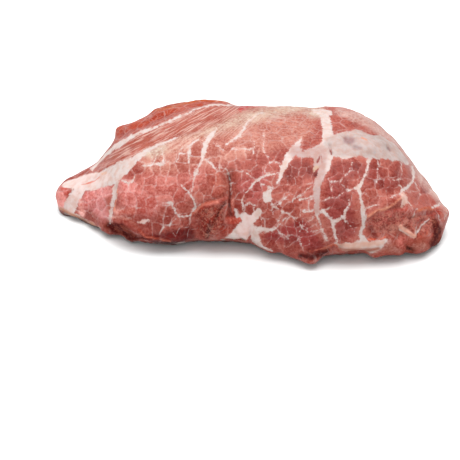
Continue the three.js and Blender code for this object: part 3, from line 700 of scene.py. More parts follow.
# %% Areas of fat, and areas of other kinds
FAT_AREAS = {
    "cap": ((0.82, 0.74, 0.72), 5, [(335, 146, 11), (358, 143, 14), (380, 147, 14), (402, 158, 7)]),
    "seam below the bridge": ((0.82, 0.7, 0.68), 6, [
        (296, 152, 6), (318, 154, 9), (318, 185, 6), (316.5, 210, 4)]),
    "dents in the cap": ((0.69, 0.56, 0.56), 4, [(346, 140, 3), (352, 141, 3)]),
    "blue dents": ((0.7, 0.62, 0.62), 3, [(355, 147, 2), (360, 148, 2)]),
    "far dent": ((0.68, 0.56, 0.56), 2, [(388, 148, 1), (390, 150, 1)]),
    "orange spot": ((0.92, 0.58, 0.42), 2, [(362, 139, 0.8), (366, 140.5, 0.8)]),
    "left band": ((0.98, 0.89, 0.87), 6, [(70, 183, 8), (100, 177, 9), (72, 205, 7)]),
    "blush in the left band": ((0.94, 0.48, 0.38), 1.2, [
        (81, 184, 0.2), (88, 183.4, 0.5), (95, 180.5, 0.4), (99, 177, 0.6)]),
    "more blush": ((1, 0.84, 0.74), 1.4, [(102, 173.5, 1), (105.5, 173, 0.8)]),
    "blush in the top seam": ((0.79, 0.25, 0.11), 1.3, [(140.5, 134, 0.6), (142, 134.5, 0.4)]),
    "cream corner": ((0.84, 0.7, 0.6), 2, [(317, 167, 2), (313, 171, 1.5)]),
    "slit in the seam": ((0.62, 0.1, 0.04), 0.8, [(319.5, 156, 0.4), (318, 159, 0.8), (316.8, 162, 0.5)]),
    "slit beside the cap": ((0.6, 0.14, 0.08), 0.8, [
        (330, 146.5, 0.3), (330, 150.5, 0.8), (330.5, 154, 0.5)]),
    "fringe of the tip": ((0.87, 0.63, 0.52), 2.5, [
        (61, 208, 1.5), (73, 215, 1.5), (87, 222, 2), (98, 227, 1)]),
    "patch on the lip": ((1, 0.84, 0.79), 3, [(404, 196, 4), (404, 205, 4)]),
    "scrap of fat": ((0.98, 0.74, 0.66), 3, [(400, 226, 3), (414, 236, 3)]),
    "patch low on the cheek": ((1, 0.86, 0.83), 3, [(139, 222, 2), (149, 220, 2)]),
    "folded patch": ((0.98, 0.87, 0.85), 5, [(250, 220, 8), (243, 234, 8)]),
    # Painted shade: the foot of the folded patch is darkened where it meets the shade by the floor.
    "shaded foot of the folded patch": ((0.43, 0.33, 0.21), 2, [(236, 240.5, 1), (249, 241, 1)]),
    "shelf": ((0.94, 0.78, 0.72), 3, [(340, 245, 2), (358, 246, 3), (382, 243, 2)]),
    "under the shelf": ((0.74, 0.47, 0.39), 2.5, [(340, 249, 1.5), (360, 250.5, 1.5), (378, 249, 1.5)]),
}
MEMBRANE = (5, [
    (101, 167, 1), (112, 160, 4), (125, 152, 7), (145, 141, 8), (165, 131, 9), (190, 122, 11),
    (215, 114, 9), (238, 110, 5)])
STREAKED_FILM = (12, [(158, 152, 4), (185, 140, 8), (215, 126, 12), (243, 122, 12), (262, 116, 6)])
TORN = (5, [(378, 222, 8), (392, 224, 11), (408, 224, 12), (424, 225, 10)])
FOOT_OF_THE_TORN_CORNER = (5, [(376, 252, 3), (400, 247, 8), (424, 243, 8)])
ROUGH_LOBE = (4, [(204, 213, 8), (213, 217, 12), (208, 230, 9)])
print(len(FAT_AREAS), "areas of fat")

# %% [markdown]
# ## From lines to fields
# First each point of the skin learns where it shows in the picture, and whether it shows at all. A
# small wobble is added, so that no line is straight. The photo can't show the far side. There the
# same kinds of seams are laid turned half a circle round, as a presa has fat on both sides.

# %% Where each point of the skin shows
JUST_SEEN = (-0.05, 0.12)
WOBBLE = ((4.2, 0.9), (1.9, 0.45))
WEB_WOBBLE = ((6, 1.6), (3, 0.8))
HALF_TURN = np.array([-1, -1, 1])


def shaken(sizes, shift):
    """Two numbers a point, for x and y: bumps of every size times its height in pixels. The shift
    in millimetres keeps one set of bumps from being the same as another."""
    return sum(height * np.stack([bumps(skin + shift, size), bumps(skin + shift + 40, size)], -1)
               for size, height in sizes)


to_eye = eye - form
facing = (normals * to_eye).sum(2) / np.linalg.norm(to_eye, axis=2)
seen = smoothstep(*JUST_SEEN, facing)
wobble = shaken(WOBBLE, 0)
picture_xy = in_picture(skin) + wobble
far_xy = in_picture(skin * HALF_TURN) + wobble
print("the camera sees", round(100 * float((seen > 0.5).mean())), "% of the skin")

# %% [markdown]
# For each point, its distance to the nearest line, less the line's half width, says whether it is
# fat (below zero) or lean (above). One such number a point is all that the finish needs, because a
# distance changes smoothly even where the edge it describes is sharp. Where the skin turns away
# from the camera, a pixel covers more of it, so the distance is stretched there.

# %% Distance to the fat
VEIN_WIDTH = 0.8
FAR_SIDE_FAT = ["diagonal seam", "bridge", "main seam", "right seam", "upper left seam", "far right seam"]
DEEPEST, NO_FAT = -8, 12
FULL_FACING, LEAST_FACING = 0.4, 0.05


def thick_line(xy, line):
    """The distance to a line and its half width there, which changes evenly between its points."""
    line = np.array(line, float)
    gap, place = line_distance(xy, line[:, :2])
    return gap, np.interp(place, np.arange(len(line)), line[:, 2])


def nearest_fat(xy, lines, stretch, widen=1.0):
    """The least of distance * stretch - half width * widen over all the lines, in pixels."""
    nearest = np.full(xy.shape[:-1], np.inf)
    for line in lines:
        gap, half = thick_line(xy, line)
        nearest = np.minimum(nearest, gap * stretch - half * widen)
    return nearest


stretch = np.maximum(1, FULL_FACING / np.maximum(facing, LEAST_FACING))
front_fat = np.minimum(nearest_fat(picture_xy, FAT.values(), stretch),
                       nearest_fat(picture_xy, vein_lines, stretch, VEIN_WIDTH))
front_fat = np.maximum(front_fat, -nearest_fat(picture_xy, LEAN_IN_FAT.values(), stretch))
far_fat = np.minimum(nearest_fat(far_xy, [FAT[name] for name in FAR_SIDE_FAT], 1),
                     nearest_fat(far_xy, vein_lines, 1, VEIN_WIDTH))
fat_gap = np.minimum(front_fat + NO_FAT * (1 - seen), far_fat + NO_FAT * seen)
fat_gap = np.clip(fat_gap, DEEPEST, NO_FAT)
print("fat covers", round(100 * float((fat_gap < 0).mean())), "% of the skin")

# %% [markdown]
# The web needs the two nearest bundles. The border between them is where both are equally far, and
# it is thicker next to a seam, because there the fat of the web runs into the seam. Each bundle
# also gets a tone of its own, as some look darker than the next.

# %% Distance to the web between the bundles
WEB_HALF = {"left end": 0.3, "left of the crease": 0.5, "beside the folded fat": 0.4,
            "under the bridge": 0.4, "right of the main seam": 0.25}
WEB_FLARE, FLARE_REACH = 0.45, 3
WEB_THINNEST, WEB_SWELLS, WEB_PATCH = 0.7, 0.5, 5
WEB_ENDS = (15, 9)
TONE_STEP = 12.9898


def between_bundles(xy, middles):
    """The distance to the border between the two nearest bundles, (far^2 - near^2) / (2 * apart), the
    distance to the nearest middle, and which bundle that is."""
    middles = np.array(middles, float)
    near, far = np.full(xy.shape[:-1], np.inf), np.full(xy.shape[:-1], np.inf)
    first, second = np.zeros(xy.shape[:-1], int), np.zeros(xy.shape[:-1], int)
    for n, middle in enumerate(middles):
        gap = ((xy - middle) ** 2).sum(-1)
        nearest = gap < near
        next_best = (gap >= near) & (gap < far)
        far = np.where(nearest, near, np.where(next_best, gap, far))
        second = np.where(nearest, first, np.where(next_best, n, second))
        near = np.where(nearest, gap, near)
        first = np.where(nearest, n, first)
    apart = np.linalg.norm(middles[first] - middles[second], axis=-1)
    return (far - near) / (2 * np.maximum(apart, 1e-6)), np.sqrt(near), first


web_wobble = shaken(WEB_WOBBLE, 80)
front_web = between_bundles(picture_xy + web_wobble, bundle_middles)
far_web = between_bundles(far_xy + web_wobble, bundle_middles)
web_gap, to_middle, bundle = (np.where(seen > 0.5, a, b) for a, b in zip(front_web, far_web))
in_web = smoothstep(*WEB_ENDS, to_middle)
half_by_bundle = np.repeat(list(WEB_HALF.values()), [len(BUNDLES[group]) for group in WEB_HALF])
web_half = half_by_bundle[bundle] + WEB_FLARE * np.exp(-np.maximum(fat_gap, 0) / FLARE_REACH)
web_half = web_half * (WEB_THINNEST + WEB_SWELLS * bumps(skin, WEB_PATCH))
web_gap = web_gap - web_half + NO_FAT * (1 - in_web)
bundle_tone = fraction(np.sin(bundle * TONE_STEP) * SCATTER) * in_web + 0.5 * (1 - in_web)
print("the web reaches", round(100 * float((in_web > 0.5).mean())), "% of the skin")

# %% [markdown]
# ## Colours and kinds of surface
# The colours are laid over one another like washes of paint. They are written as a screen shows
# them, but a material needs the share of light that a surface gives back, so each is divided by
# the light that falls on the top of the cut. Near the floor both lean and fat are darkened with
# painted shade, where the floor shades them.

# %% Colours
TOP_LIGHT = 1.9
LEAN, LEAN_PALE, LEAN_PATCH = (0.73, 0.36, 0.31), (0.80, 0.45, 0.39), 26
FAT_WHITE = (0.92, 0.85, 0.83)
CAP_VARIES, CAP_PATCH = 0.16, 8
# Painted shade near the floor: below these heights in millimetres the colours are dimmed towards this
# share.
FLOOR_SHADE_HEIGHTS, FLOOR_SHADE_SHARE = (1, 6), 0.35


def light(colour):
    """A colour as the screen shows it, as the share of light it gives back: the light it stands for,
    ((c + 0.055) / 1.055)^2.4, over the light that falls on the top of the cut."""
    return ((np.array(colour, float) + 0.055) / 1.055) ** 2.4 / TOP_LIGHT


def area(softness, line):
    """1 inside a thick line of the picture and 0 outside, over a ramp of the given softness."""
    gap, half = thick_line(picture_xy, line)
    return smoothstep(softness / 2, -softness / 2, gap - half)


def laid_over(base, areas):
    """The base colour with every area's colour mixed over it in turn."""
    for colour, softness, line in areas.values():
        mask = (area(softness, line) * seen)[..., None]
        base = base * (1 - mask) + light(colour) * mask
    return base


patchy = (0.5 + 0.5 * bumps(skin, LEAN_PATCH))[..., None]
# Painted shade: lean and fat are darkened over the lowest few millimetres above the floor.
foot = FLOOR_SHADE_SHARE + (1 - FLOOR_SHADE_SHARE) * smoothstep(*FLOOR_SHADE_HEIGHTS, skin[..., 2:] - SINK)
cap = area(*FAT_AREAS["cap"][1:]) * seen
lean_colour = laid_over(light(LEAN) * (1 - patchy) + light(LEAN_PALE) * patchy, LEAN_AREAS) * foot
fat_colour = laid_over(np.broadcast_to(light(FAT_WHITE), skin.shape), FAT_AREAS) * foot
fat_colour = fat_colour * (1 + CAP_VARIES * cap * bumps(skin, CAP_PATCH))[..., None]
print("the lean gives back", lean_colour.mean((0, 1)).round(2), "of the light")

# %% [markdown]
# Four numbers from 0 to 1 say what kind of surface a point has: how much membrane lies over it, how
# rough it is, how much of the fine net shows, and how bare it is. Bare places were cut or torn to
# the dark inside. The net and the web fade where something else is on top of them.

# %% Kinds of surface
STREAKED_SHARE = 0.6
NET_LOST = {"web": 0.8, "film": 0.9, "rough": 0.8, "seen": 0.5}
WEB_LOST = {"film": 4, "rough": 2, "bare": 4}

film = np.maximum(area(*MEMBRANE), STREAKED_SHARE * area(*STREAKED_FILM)) * seen
film = film * (1 - area(*LEAN_AREAS["red fold on the back"][1:]))
torn = area(*TORN) * seen
rough_lobe = area(*ROUGH_LOBE) * seen
bare = np.maximum(area(*LEAN_AREAS["brown end"][1:]), area(*LEAN_AREAS["raw and shaded side of the undercut"][1:]))
bare = np.maximum(bare, area(*FOOT_OF_THE_TORN_CORNER)) * seen
surface = {"web": in_web, "film": film, "rough": np.maximum(torn, rough_lobe), "seen": seen, "bare": bare}
net = 1 - bare
for name, share in NET_LOST.items():
    net = net * (1 - share * surface[name])
for name, pixels in WEB_LOST.items():
    web_gap = web_gap + pixels * surface[name]
print("membrane over", round(100 * float(film.mean())), "% of the skin")

# %% [markdown]
# ## Fine relief
# Under a fingertip the bundles of lean swell between the seams, the membrane has fine ridges along
# the grain, and torn places are rough. Most of it is under two millimetres, too fine for the solid
# and too large for a bump in the finish, because it shows at the outline. So it goes into the mesh.

# %% Narrow relief: (width in pixels, height in millimetres, line in pixels of the picture)
NARROW_RELIEF = {
    "crease": (1.2, -2.2, [(230, 176), (230, 190), (229, 200), (229, 212), (231, 216)]),
    "left slit": (0.9, -1.6, [(330, 144), (330, 149), (331, 154)]),
    "right slit": (0.8, -1, [(320, 156), (317, 161)]),
    "scrap of fat": (2.2, 1.5, [(400, 226), (402.5, 229), (406, 231.5), (410, 233), (414, 236)]),
    "strand": (0.9, 0.8, [(413.5, 236), (414.5, 231), (416, 225)]),
    "second strand": (1, 0.9, [(414, 235), (417, 230.5), (421, 226), (428.5, 219.5)]),
    "over the lip": (1.6, 0.7, [
        (367, 216.5), (377, 211), (384, 209.5), (390.5, 206.5), (396, 202), (400.5, 198)]),
    "gap between the lumps": (1.6, -1.6, [(398, 236), (407, 246), (413, 250)]),
    "lump": (3.5, 0.9, [(402, 242)]),
    "second lump": (2.6, 0.8, [(412, 239)]),
    "inside the rolled tip": (1.4, -1, [(437, 209), (440, 213), (441, 219)]),
    "under the lip": (2, -1.4, [(370, 219), (380, 212), (392, 208), (404, 206)]),
    "under the second lip": (2, -1.2, [(410, 218), (422, 215), (433, 212)]),
    "edge of the dark lobe": (1.6, -1.2, [(226, 196.5), (214, 200), (204, 203), (195, 208)]),
    "lip of the dark lobe": (2.2, 1.5, [(225, 200.5), (214, 204.5), (205, 207), (197, 212), (196, 220)]),
    "split in the dark lobe": (1.6, -2.2, [(225, 203), (219, 211), (216, 219), (213, 226)]),
    "second split in the dark lobe": (1.2, -1, [(206, 212), (204, 220), (208, 228)]),
    "left side of the dark lobe": (1.5, -1.2, [(196, 216), (198, 224), (199, 234)]),
    "fold in the patch": (1.2, -0.9, [(232, 227), (236, 233), (241, 240)]),
    "second fold in the patch": (1.2, -1, [(251, 231), (249.5, 238), (250.5, 243)]),
    "above the flap": (1.6, -1.6, [(308, 252), (318, 252), (330, 247), (342, 246)]),
    "beside the cheek seam": (1.6, -0.7, [(117, 188), (114, 202), (112, 216)]),
}
print(len(NARROW_RELIEF), "narrow marks")

# %% [markdown]
# The grain of the membrane spreads like a fan from a point above the cut. So each point gets two
# more places, along the grain and across it. A pattern read at those places, squeezed along the
# grain, turns into streaks.

# %% Grain
FAN_MIDDLE, FAN_REACH = np.array([351.0, 33.0]), 180
from_fan = in_picture(skin) - FAN_MIDDLE
grain_along = np.linalg.norm(from_fan, axis=-1)
grain_across = FAN_REACH * np.arctan2(from_fan[..., 1], -from_fan[..., 0])
grain = np.stack([grain_along, grain_across, np.zeros_like(grain_along)], -1)
print("the grain runs over", round(float(np.ptp(grain_along))), "pixels")

# %% [markdown]
# Each kind of surface brings its own bumps, by size and height. They add up with the swelling of the
# bundles and the narrow marks, and move the skin along its outward direction. Nothing may go below
# the floor.

# %% Settled skin, in millimetres
SWELLING, SWELLING_REACH = 0.5, 2.5
RIDGE_HEIGHT, RIDGE_STRETCH = 0.3, [0.07, 0.5, 1]
ALL_OVER = ((2.3, 0.12), (6, 0.3))
TORN_BUMPS = ((4.2, 1.3), (1.7, 0.6))
LOBE_BUMPS = ((4.6, 1.3), (1.9, 0.6))
CAP_BUMPS = ((7.5, 0.7), (3.5, 0.3))

fine = SWELLING * (1 - np.exp(-np.maximum(np.minimum(fat_gap, web_gap), 0) / SWELLING_REACH)) * (1 - film)
fine += RIDGE_HEIGHT * film * bumps(grain * RIDGE_STRETCH, 1.0)
for mask, sizes in ((1, ALL_OVER), (torn, TORN_BUMPS), (rough_lobe, LOBE_BUMPS), (cap, CAP_BUMPS)):
    fine += mask * sum(height * bumps(skin, size) for size, height in sizes)
for width, lift, line in NARROW_RELIEF.values():
    fine += lift * seen * np.exp(-(line_distance(picture_xy, line)[0] / width) ** 2)

settled = skin + fine[..., None] * normals - [0, 0, SINK]
settled[..., 2] = np.maximum(settled[..., 2], 0)
settled = (settled - centre) * MM
print("fine relief from", round(float(fine.min()), 1), "to", round(float(fine.max()), 1), "mm")

# %% [markdown]
# ## The mesh
# A grid wrapped round a form closes on itself in one direction. At the two tips all its columns
# meet in one point, so each tip is a single point with a fan of triangles. The fields go along as
# attributes, one value a point, and the finish reads them by name.

# %% Mesh of the presa
def one_per_point(values):
    """Grid values as a list: the first tip, every point between the tips, the last tip."""
    flat = values.reshape(values.shape[0], values.shape[1], -1)
    return np.vstack([flat[0, :1], flat[1:-1].reshape(-1, flat.shape[2]), flat[-1, :1]])


def wrapped_grid(name, grid):
    """A closed mesh over a grid: quads between neighbouring rows and columns, a fan at each tip."""
    rows, cols = grid.shape[:2]
    column = np.arange(cols)
    after = (column + 1) % cols
    row = 1 + cols * np.arange(rows - 3)[:, None]
    quads = np.stack([row + column, row + cols + column, row + cols + after, row + after], -1)
    last = 1 + cols * (rows - 2)
    first_fan = np.stack([np.zeros(cols, int), 1 + column, 1 + after], -1)
    last_fan = np.stack([last - cols + column, np.full(cols, last), last - cols + after], -1)
    faces = [*quads.reshape(-1, 4).tolist(), *first_fan.tolist(), *last_fan.tolist()]
    mesh = bpy.data.meshes.new(name)
    mesh.from_pydata(one_per_point(grid), [], faces)
    mesh.shade_smooth()
    piece = bpy.data.objects.new(name, mesh)
    bpy.context.scene.collection.objects.link(piece)
    return piece


presa = wrapped_grid("presa_meat", settled)
print(presa.name, "has", sum(len(p.vertices) - 2 for p in presa.data.polygons), "triangles")

# %% [markdown]
# An image wrapped round the piece could carry the fields too, but it would need flat coordinates
# and has pixels of its own. Attributes sit on the points themselves and bend with the mesh.

# %% Fields as attributes
PARTS = {"FLOAT": "value", "FLOAT_VECTOR": "vector", "FLOAT_COLOR": "color"}


def give(name, kind, values):
    """Stores one value a point under a name. A colour's fourth part is 1 if not given."""
    flat = one_per_point(values)
    if kind == "FLOAT_COLOR":
        flat = np.hstack([flat, np.ones((len(flat), 4 - flat.shape[1]))])
    layer = presa.data.attributes.new(name, kind, "POINT")
    layer.data.foreach_set(PARTS[kind], flat.ravel().astype(np.float32))


give("fat_gap", "FLOAT", fat_gap)
give("web_gap", "FLOAT", np.clip(web_gap, -4, NO_FAT))
give("bundle_tone", "FLOAT", bundle_tone)
give("lean_colour", "FLOAT_COLOR", lean_colour)
give("fat_colour", "FLOAT_COLOR", fat_colour)
give("kinds", "FLOAT_COLOR", np.stack([film, surface["rough"], net, bare], -1))
give("grain", "FLOAT_VECTOR", grain)
print(len(presa.data.attributes), "attributes on the mesh")

# %% [markdown]
# ## The finish of the meat
# Raw meat is moist and slightly see-through, so light goes a little way in before it comes back.
# Its colour comes from layers: the lean with its fibres, what lies on the lean, a fine net of fat,
# and the seams. They are built here one by one, with a few short helpers that make the nodes.

# %% Nodes by name
raw_presa = bpy.data.materials.new("raw_presa")
raw_presa.use_nodes = True
tree = raw_presa.node_tree
shader = tree.nodes["Principled BSDF"]


def plug(socket, value):
    """Links another socket to this one, or sets its value."""
    if isinstance(value, bpy.types.NodeSocket):
        tree.links.new(value, socket)
    else:
        socket.default_value = value


def add(kind, settings=None, **values):
    """A node with its settings and its inputs, each given by name as a value or as a socket.
    An underscore in an input's name stands for a space."""
    node = tree.nodes.new(kind)
    for name, value in (settings or {}).items():
        setattr(node, name, value)
    for name, value in values.items():
        plug(node.inputs[name.replace("_", " ")], value)
    return node


def calc(operation, a, b):
    """One sum of two numbers or sockets."""
    node = add("ShaderNodeMath", {"operation": operation})
    plug(node.inputs[0], a)
    plug(node.inputs[1], b)
    return node.outputs[0]


def times(a, b):
    """a * b."""
    return calc("MULTIPLY", a, b)


def plus(a, b):
    """a + b."""
    return calc("ADD", a, b)


def ramp(value, start, stop, low=0.0, high=1.0):
    """An S-shaped ramp of a value: low at start, high at stop."""
    return add("ShaderNodeMapRange", {"interpolation_type": "SMOOTHSTEP"}, Value=value,
               From_Min=start, From_Max=stop, To_Min=low, To_Max=high).outputs[0]


def blend(factor, a, b, mode="MIX"):
    """Colour b over colour a by the factor. In MULTIPLY mode b dims or lifts a, and isn't lit."""
    node = add("ShaderNodeMix", {"data_type": "RGBA", "blend_type": mode})
    own_light = TOP_LIGHT if mode == "MULTIPLY" else 1
    for index, value in ((0, factor), (6, a), (7, b)):
        plug(node.inputs[index], (*(light(value) * own_light), 1) if isinstance(value, tuple) else value)
    return node.outputs[2]


def read(name, output="Fac"):
    """A named attribute of the mesh."""
    return add("ShaderNodeAttribute", {"attribute_name": name}).outputs[output]


place = add("ShaderNodeTexCoord").outputs["Object"]


def cloud(size_mm, detail=2.0, roughness=0.5, output="Fac"):
    """Cloudy noise with features of the given size."""
    return add("ShaderNodeTexNoise", None, Vector=place, Scale=1 / (size_mm * MM),
               Detail=detail, Roughness=roughness).outputs[output]


kinds = add("ShaderNodeSeparateColor", None, Color=read("kinds", "Color"))
film_part, rough_part, net_part = (kinds.outputs[i] for i in range(3))
bare_part = read("kinds", "Alpha")
print("the material starts with", len(tree.nodes), "nodes")

# %% [markdown]
# A seam lies where the stored distance is below zero. Read as it is, its edge would be as smooth as
# the mesh. Two clouds of noise push the edge to and fro by a pixel or two, which makes it ragged.
# In rough places they push less, so that the narrow strands there don't break.

# %% Ragged seams
RAGGED = ((2.2, 3, 4.2), (0.9, 2, 2.4))
RAGGED_WHERE_ROUGH = 0.45
SEAM_EDGE = (0.45, -1.1)

ragged = plus(*(times(calc("SUBTRACT", cloud(size, detail), 0.5), reach)
                for size, detail, reach in RAGGED))
ragged = times(ragged, ramp(rough_part, 0, 1, 1, RAGGED_WHERE_ROUGH))
gap = plus(read("fat_gap"), ragged)
seam = ramp(gap, *SEAM_EDGE)
print("the edge of a seam is", SEAM_EDGE[0] - SEAM_EDGE[1], "pixels wide")

# %% [markdown]
# Where no bundles are listed, the net is the edges between the cells of a Voronoi pattern, which is
# just how bundles of muscle pack together. A coarse and a fine pattern lie over each other. Their
# lines wander, thicken, thin and break, because their width is a cloud too.

# %% Net between the bundles
PUSH_SIZE, PUSH_REACH = 7, 4
COARSE_NET = (9, 0.7, 9, 0.75)
FINE_NET = (4, 0.35, 5, 0.45)
NET_WIDTH, NET_EDGE = (0.35, 0.75), (0.25, -0.1)
WEB_RAGGED, WEB_EDGE = 0.35, (0.5, -1.0)

pushed = add("ShaderNodeVectorMath", {"operation": "MULTIPLY_ADD"})
plug(pushed.inputs[0], cloud(PUSH_SIZE, output="Color"))
plug(pushed.inputs[1], (PUSH_REACH * MM,) * 3)
plug(pushed.inputs[2], place)


def cell_net(size_mm, width_mm, wander_mm, strength):
    """Fat between bundles: full where the distance to the edge of a Voronoi cell is under a width,
    which wanders with a cloud."""
    edge = add("ShaderNodeTexVoronoi", {"feature": "DISTANCE_TO_EDGE"}, Vector=pushed.outputs[0],
               Scale=1 / (size_mm * MM)).outputs["Distance"]
    width = times(ramp(cloud(wander_mm, 2), *NET_WIDTH), width_mm)
    return times(ramp(calc("SUBTRACT", times(edge, size_mm), width), *NET_EDGE), strength)


net_mask = times(calc("MAXIMUM", cell_net(*COARSE_NET), cell_net(*FINE_NET)), net_part)
web = plus(read("web_gap"), times(ragged, WEB_RAGGED))
net_mask = calc("MAXIMUM", net_mask, ramp(web, *WEB_EDGE))
print("cells of", COARSE_NET[0], "and", FINE_NET[0], "mm")

# %% [markdown]
# The lean is darker and lighter from bundle to bundle, and mottled by its fibres. Next to fat it is
# paler, because fat runs a little way into it. A darker or lighter lean is the same lean times a
# colour, so that every area keeps its own hue.

# %% Lean
DARKER, LIGHTER = (0.78, 0.54, 0.50), (1.10, 1.24, 1.28)
TONES = (0.2, 0.8, 0.3)
FIBRES, WIDE_PATCHES, FLECKS = (1.5, 5, 0.7), (12, 2), (0.9, 4, 0.7)
DARK_FROM, FLECKED = (0.80, 0.46), (0.54, 0.66, 0, 0.4)
BESIDE_FAT, BESIDE_WEB = (3.5, 0.0, 0, 0.4), (2, 0, 0, 0.5)

tone = plus(times(read("bundle_tone"), TONES[0]), times(cloud(*FIBRES), TONES[1]))
tone = plus(tone, times(cloud(*WIDE_PATCHES), TONES[2]))
lean = read("lean_colour", "Color")
lean = blend(ramp(tone, *DARK_FROM), lean, blend(1.0, lean, DARKER, "MULTIPLY"))
lighter = blend(1.0, lean, LIGHTER, "MULTIPLY")
for amount in (ramp(cloud(*FLECKS), *FLECKED), ramp(gap, *BESIDE_FAT), ramp(web, *BESIDE_WEB)):
    lean = blend(amount, lean, lighter)
print("lean with", len(tree.nodes), "nodes so far")

# %% [markdown]
# On the lean lie streaks of membrane along the grain, and in torn places scraps and specks, pale
# where fat was pulled out and dark where blood has dried. Each layer is a cloud turned into a mask
# by a ramp, and times the kind of surface that it belongs to.

# %% What lies on the lean
GRAIN_STRETCH = (0.045, 0.8, 1)
PALE_FILM, DARK_FILM = (0.92, 0.76, 0.70), (0.72, 0.38, 0.28)
PALE_SCRAP, BROWN_SCRAP, BARE_SCRAP = (0.88, 0.62, 0.54), (0.50, 0.18, 0.12), (0.70, 0.34, 0.26)
PALE_SPECK, DARK_SPECK = (0.84, 0.55, 0.47), (0.40, 0.13, 0.10)

along_grain = add("ShaderNodeVectorMath", {"operation": "MULTIPLY"})
plug(along_grain.inputs[0], read("grain", "Vector"))
plug(along_grain.inputs[1], GRAIN_STRETCH)
streak = add("ShaderNodeTexNoise", None, Vector=along_grain.outputs[0], Scale=1.0, Detail=4.0,
             Roughness=0.6, Distortion=0.3).outputs["Fac"]
scraps = cloud(4.5, 3, 0.6)
specks = cloud(1.1, 4, 0.65)
for part, pattern, start, stop, strength, colour in (
        (film_part, streak, 0.46, 0.62, 0.80, PALE_FILM),
        (film_part, streak, 0.50, 0.38, 0.55, DARK_FILM),
        (rough_part, scraps, 0.50, 0.62, 0.40, PALE_SCRAP),
        (rough_part, scraps, 0.46, 0.36, 0.50, BROWN_SCRAP),
        (rough_part, specks, 0.52, 0.62, 0.65, PALE_SPECK),
        (rough_part, specks, 0.47, 0.38, 0.50, DARK_SPECK),
        (bare_part, scraps, 0.44, 0.62, 0.40, BARE_SCRAP),
        (bare_part, specks, 0.54, 0.64, 0.30, PALE_SPECK)):
    lean = blend(times(part, ramp(pattern, start, stop, 0, strength)), lean, colour)
print("lean, film, scraps and specks:", len(tree.nodes), "nodes")

# %% [markdown]
# Fat is creamy white, and a little pinker where it is thin. The threads of the net are so thin that
# some lean shines through. The seams lie over everything.

# %% Fat over lean
PINKER, THIN_FAT = (0.97, 0.90, 0.87), (0.35, 0.7)
SHINES_THROUGH = 0.3

fat = read("fat_colour", "Color")
fat = blend(ramp(cloud(3.5, 3), *THIN_FAT), fat, blend(1.0, fat, PINKER, "MULTIPLY"))
colour = blend(net_mask, lean, blend(SHINES_THROUGH, fat, lean))
plug(shader.inputs["Base Color"], blend(seam, colour, fat))
print("the colour ends after", len(tree.nodes), "nodes")

# %% [markdown]
# The surface is moist, but soft light and a fine grain keep it from glittering. Bare places are
# duller, as they are dry. The bump holds only what is finer than the mesh: fibres, the edge of a
# seam, the ridges of the membrane and the grit of torn places.

# %% Moist surface
WET, WET_PATCH, BARE_DULLER = (0.35, 0.7, 0.36, 0.52), (6, 3), 0.5
FIBRE_BUMP, SEAM_BUMP, RIDGE_BUMP, GRIT_BUMP = 0.5, 0.15, 0.5, 0.5

plug(shader.inputs["Roughness"], plus(ramp(cloud(*WET_PATCH), *WET), times(bare_part, BARE_DULLER)))
height = plus(times(cloud(1.1, 3, 0.6), FIBRE_BUMP), times(seam, SEAM_BUMP))
height = plus(height, times(times(streak, film_part), RIDGE_BUMP))
height = plus(height, times(times(specks, rough_part), GRIT_BUMP))
bump = add("ShaderNodeBump", None, Strength=0.8, Distance=0.8 * MM, Height=height)
plug(shader.inputs["Normal"], bump.outputs[0])
shader.inputs["Subsurface Weight"].default_value = 0.15
shader.inputs["Subsurface Radius"].default_value = (1.0, 0.35, 0.25)
shader.inputs["Subsurface Scale"].default_value = 2.5 * MM
shader.inputs["Specular IOR Level"].default_value = 0.1

presa.data.materials.append(raw_presa)
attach(presa, "root")
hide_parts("presa")
print("finished", presa.name, "with", len(tree.nodes), "nodes")

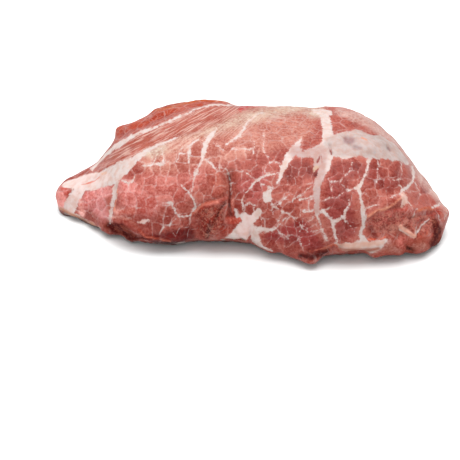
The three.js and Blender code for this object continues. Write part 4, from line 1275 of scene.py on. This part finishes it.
# %% [markdown]
# ## Floor and light
# The cut lies on a plain white surface. It lies a hair below zero, so that the flat underside and
# the floor never share a plane, and reaches so far that the photo's view shows no edge of it.

# %% Floor
FLOOR_HALF, FLOOR_BELOW = 3.0, -0.0002
FLOOR_WHITE = (0.79, 0.8, 0.8, 1)
CORNERS = ((-1, -1), (1, -1), (1, 1), (-1, 1))
floor_mesh = bpy.data.meshes.new("floor")
floor_corners = [(x * FLOOR_HALF, y * FLOOR_HALF, FLOOR_BELOW) for x, y in CORNERS]
floor_mesh.from_pydata(floor_corners, [], [(0, 1, 2, 3)])
floor = bpy.data.objects.new("floor", floor_mesh)
bpy.context.scene.collection.objects.link(floor)
white_surface = bpy.data.materials.new("white_surface")
white_surface.use_nodes = True
floor_shader = white_surface.node_tree.nodes["Principled BSDF"]
floor_shader.inputs["Base Color"].default_value = FLOOR_WHITE
floor_shader.inputs["Roughness"].default_value = 0.9
floor_shader.inputs["Specular IOR Level"].default_value = 0.0
floor.data.materials.append(white_surface)
print("the floor is", 2 * FLOOR_HALF, "m wide")

# %% [markdown]
# Soft light from above makes the top bright and lets the front fall off towards the bottom, with
# only a short shadow round it. A large area light overhead, a weaker one in front and a pale sky
# give that. A hard lamp would put sparkles on every moist spot.

# %% Lights
LAMP_SIZE = 1.3
SKY_STRENGTH = 0.55


def area_light(name, at, power, turn):
    """A soft square light at a place in metres, turned by three angles in degrees."""
    data = bpy.data.lights.new(name, "AREA")
    data.size, data.energy = LAMP_SIZE, power
    lamp = bpy.data.objects.new(name, data)
    lamp.location = at
    lamp.rotation_euler = np.radians(turn)
    bpy.context.scene.collection.objects.link(lamp)


area_light("overhead", (0.0, 0.1, 1.1), 25, (-5, 0, 0))
area_light("front_fill", (-0.3, -0.95, 0.9), 8.5, (47, 0, -17))
world = bpy.data.worlds.new("pale_room")
bpy.context.scene.world = world
world.use_nodes = True
sky = world.node_tree.nodes["Background"]
sky.inputs["Color"].default_value = (1, 1, 1, 1)
sky.inputs["Strength"].default_value = SKY_STRENGTH
bpy.context.scene.view_settings.view_transform = "Standard"
print("two soft lights and a pale room")
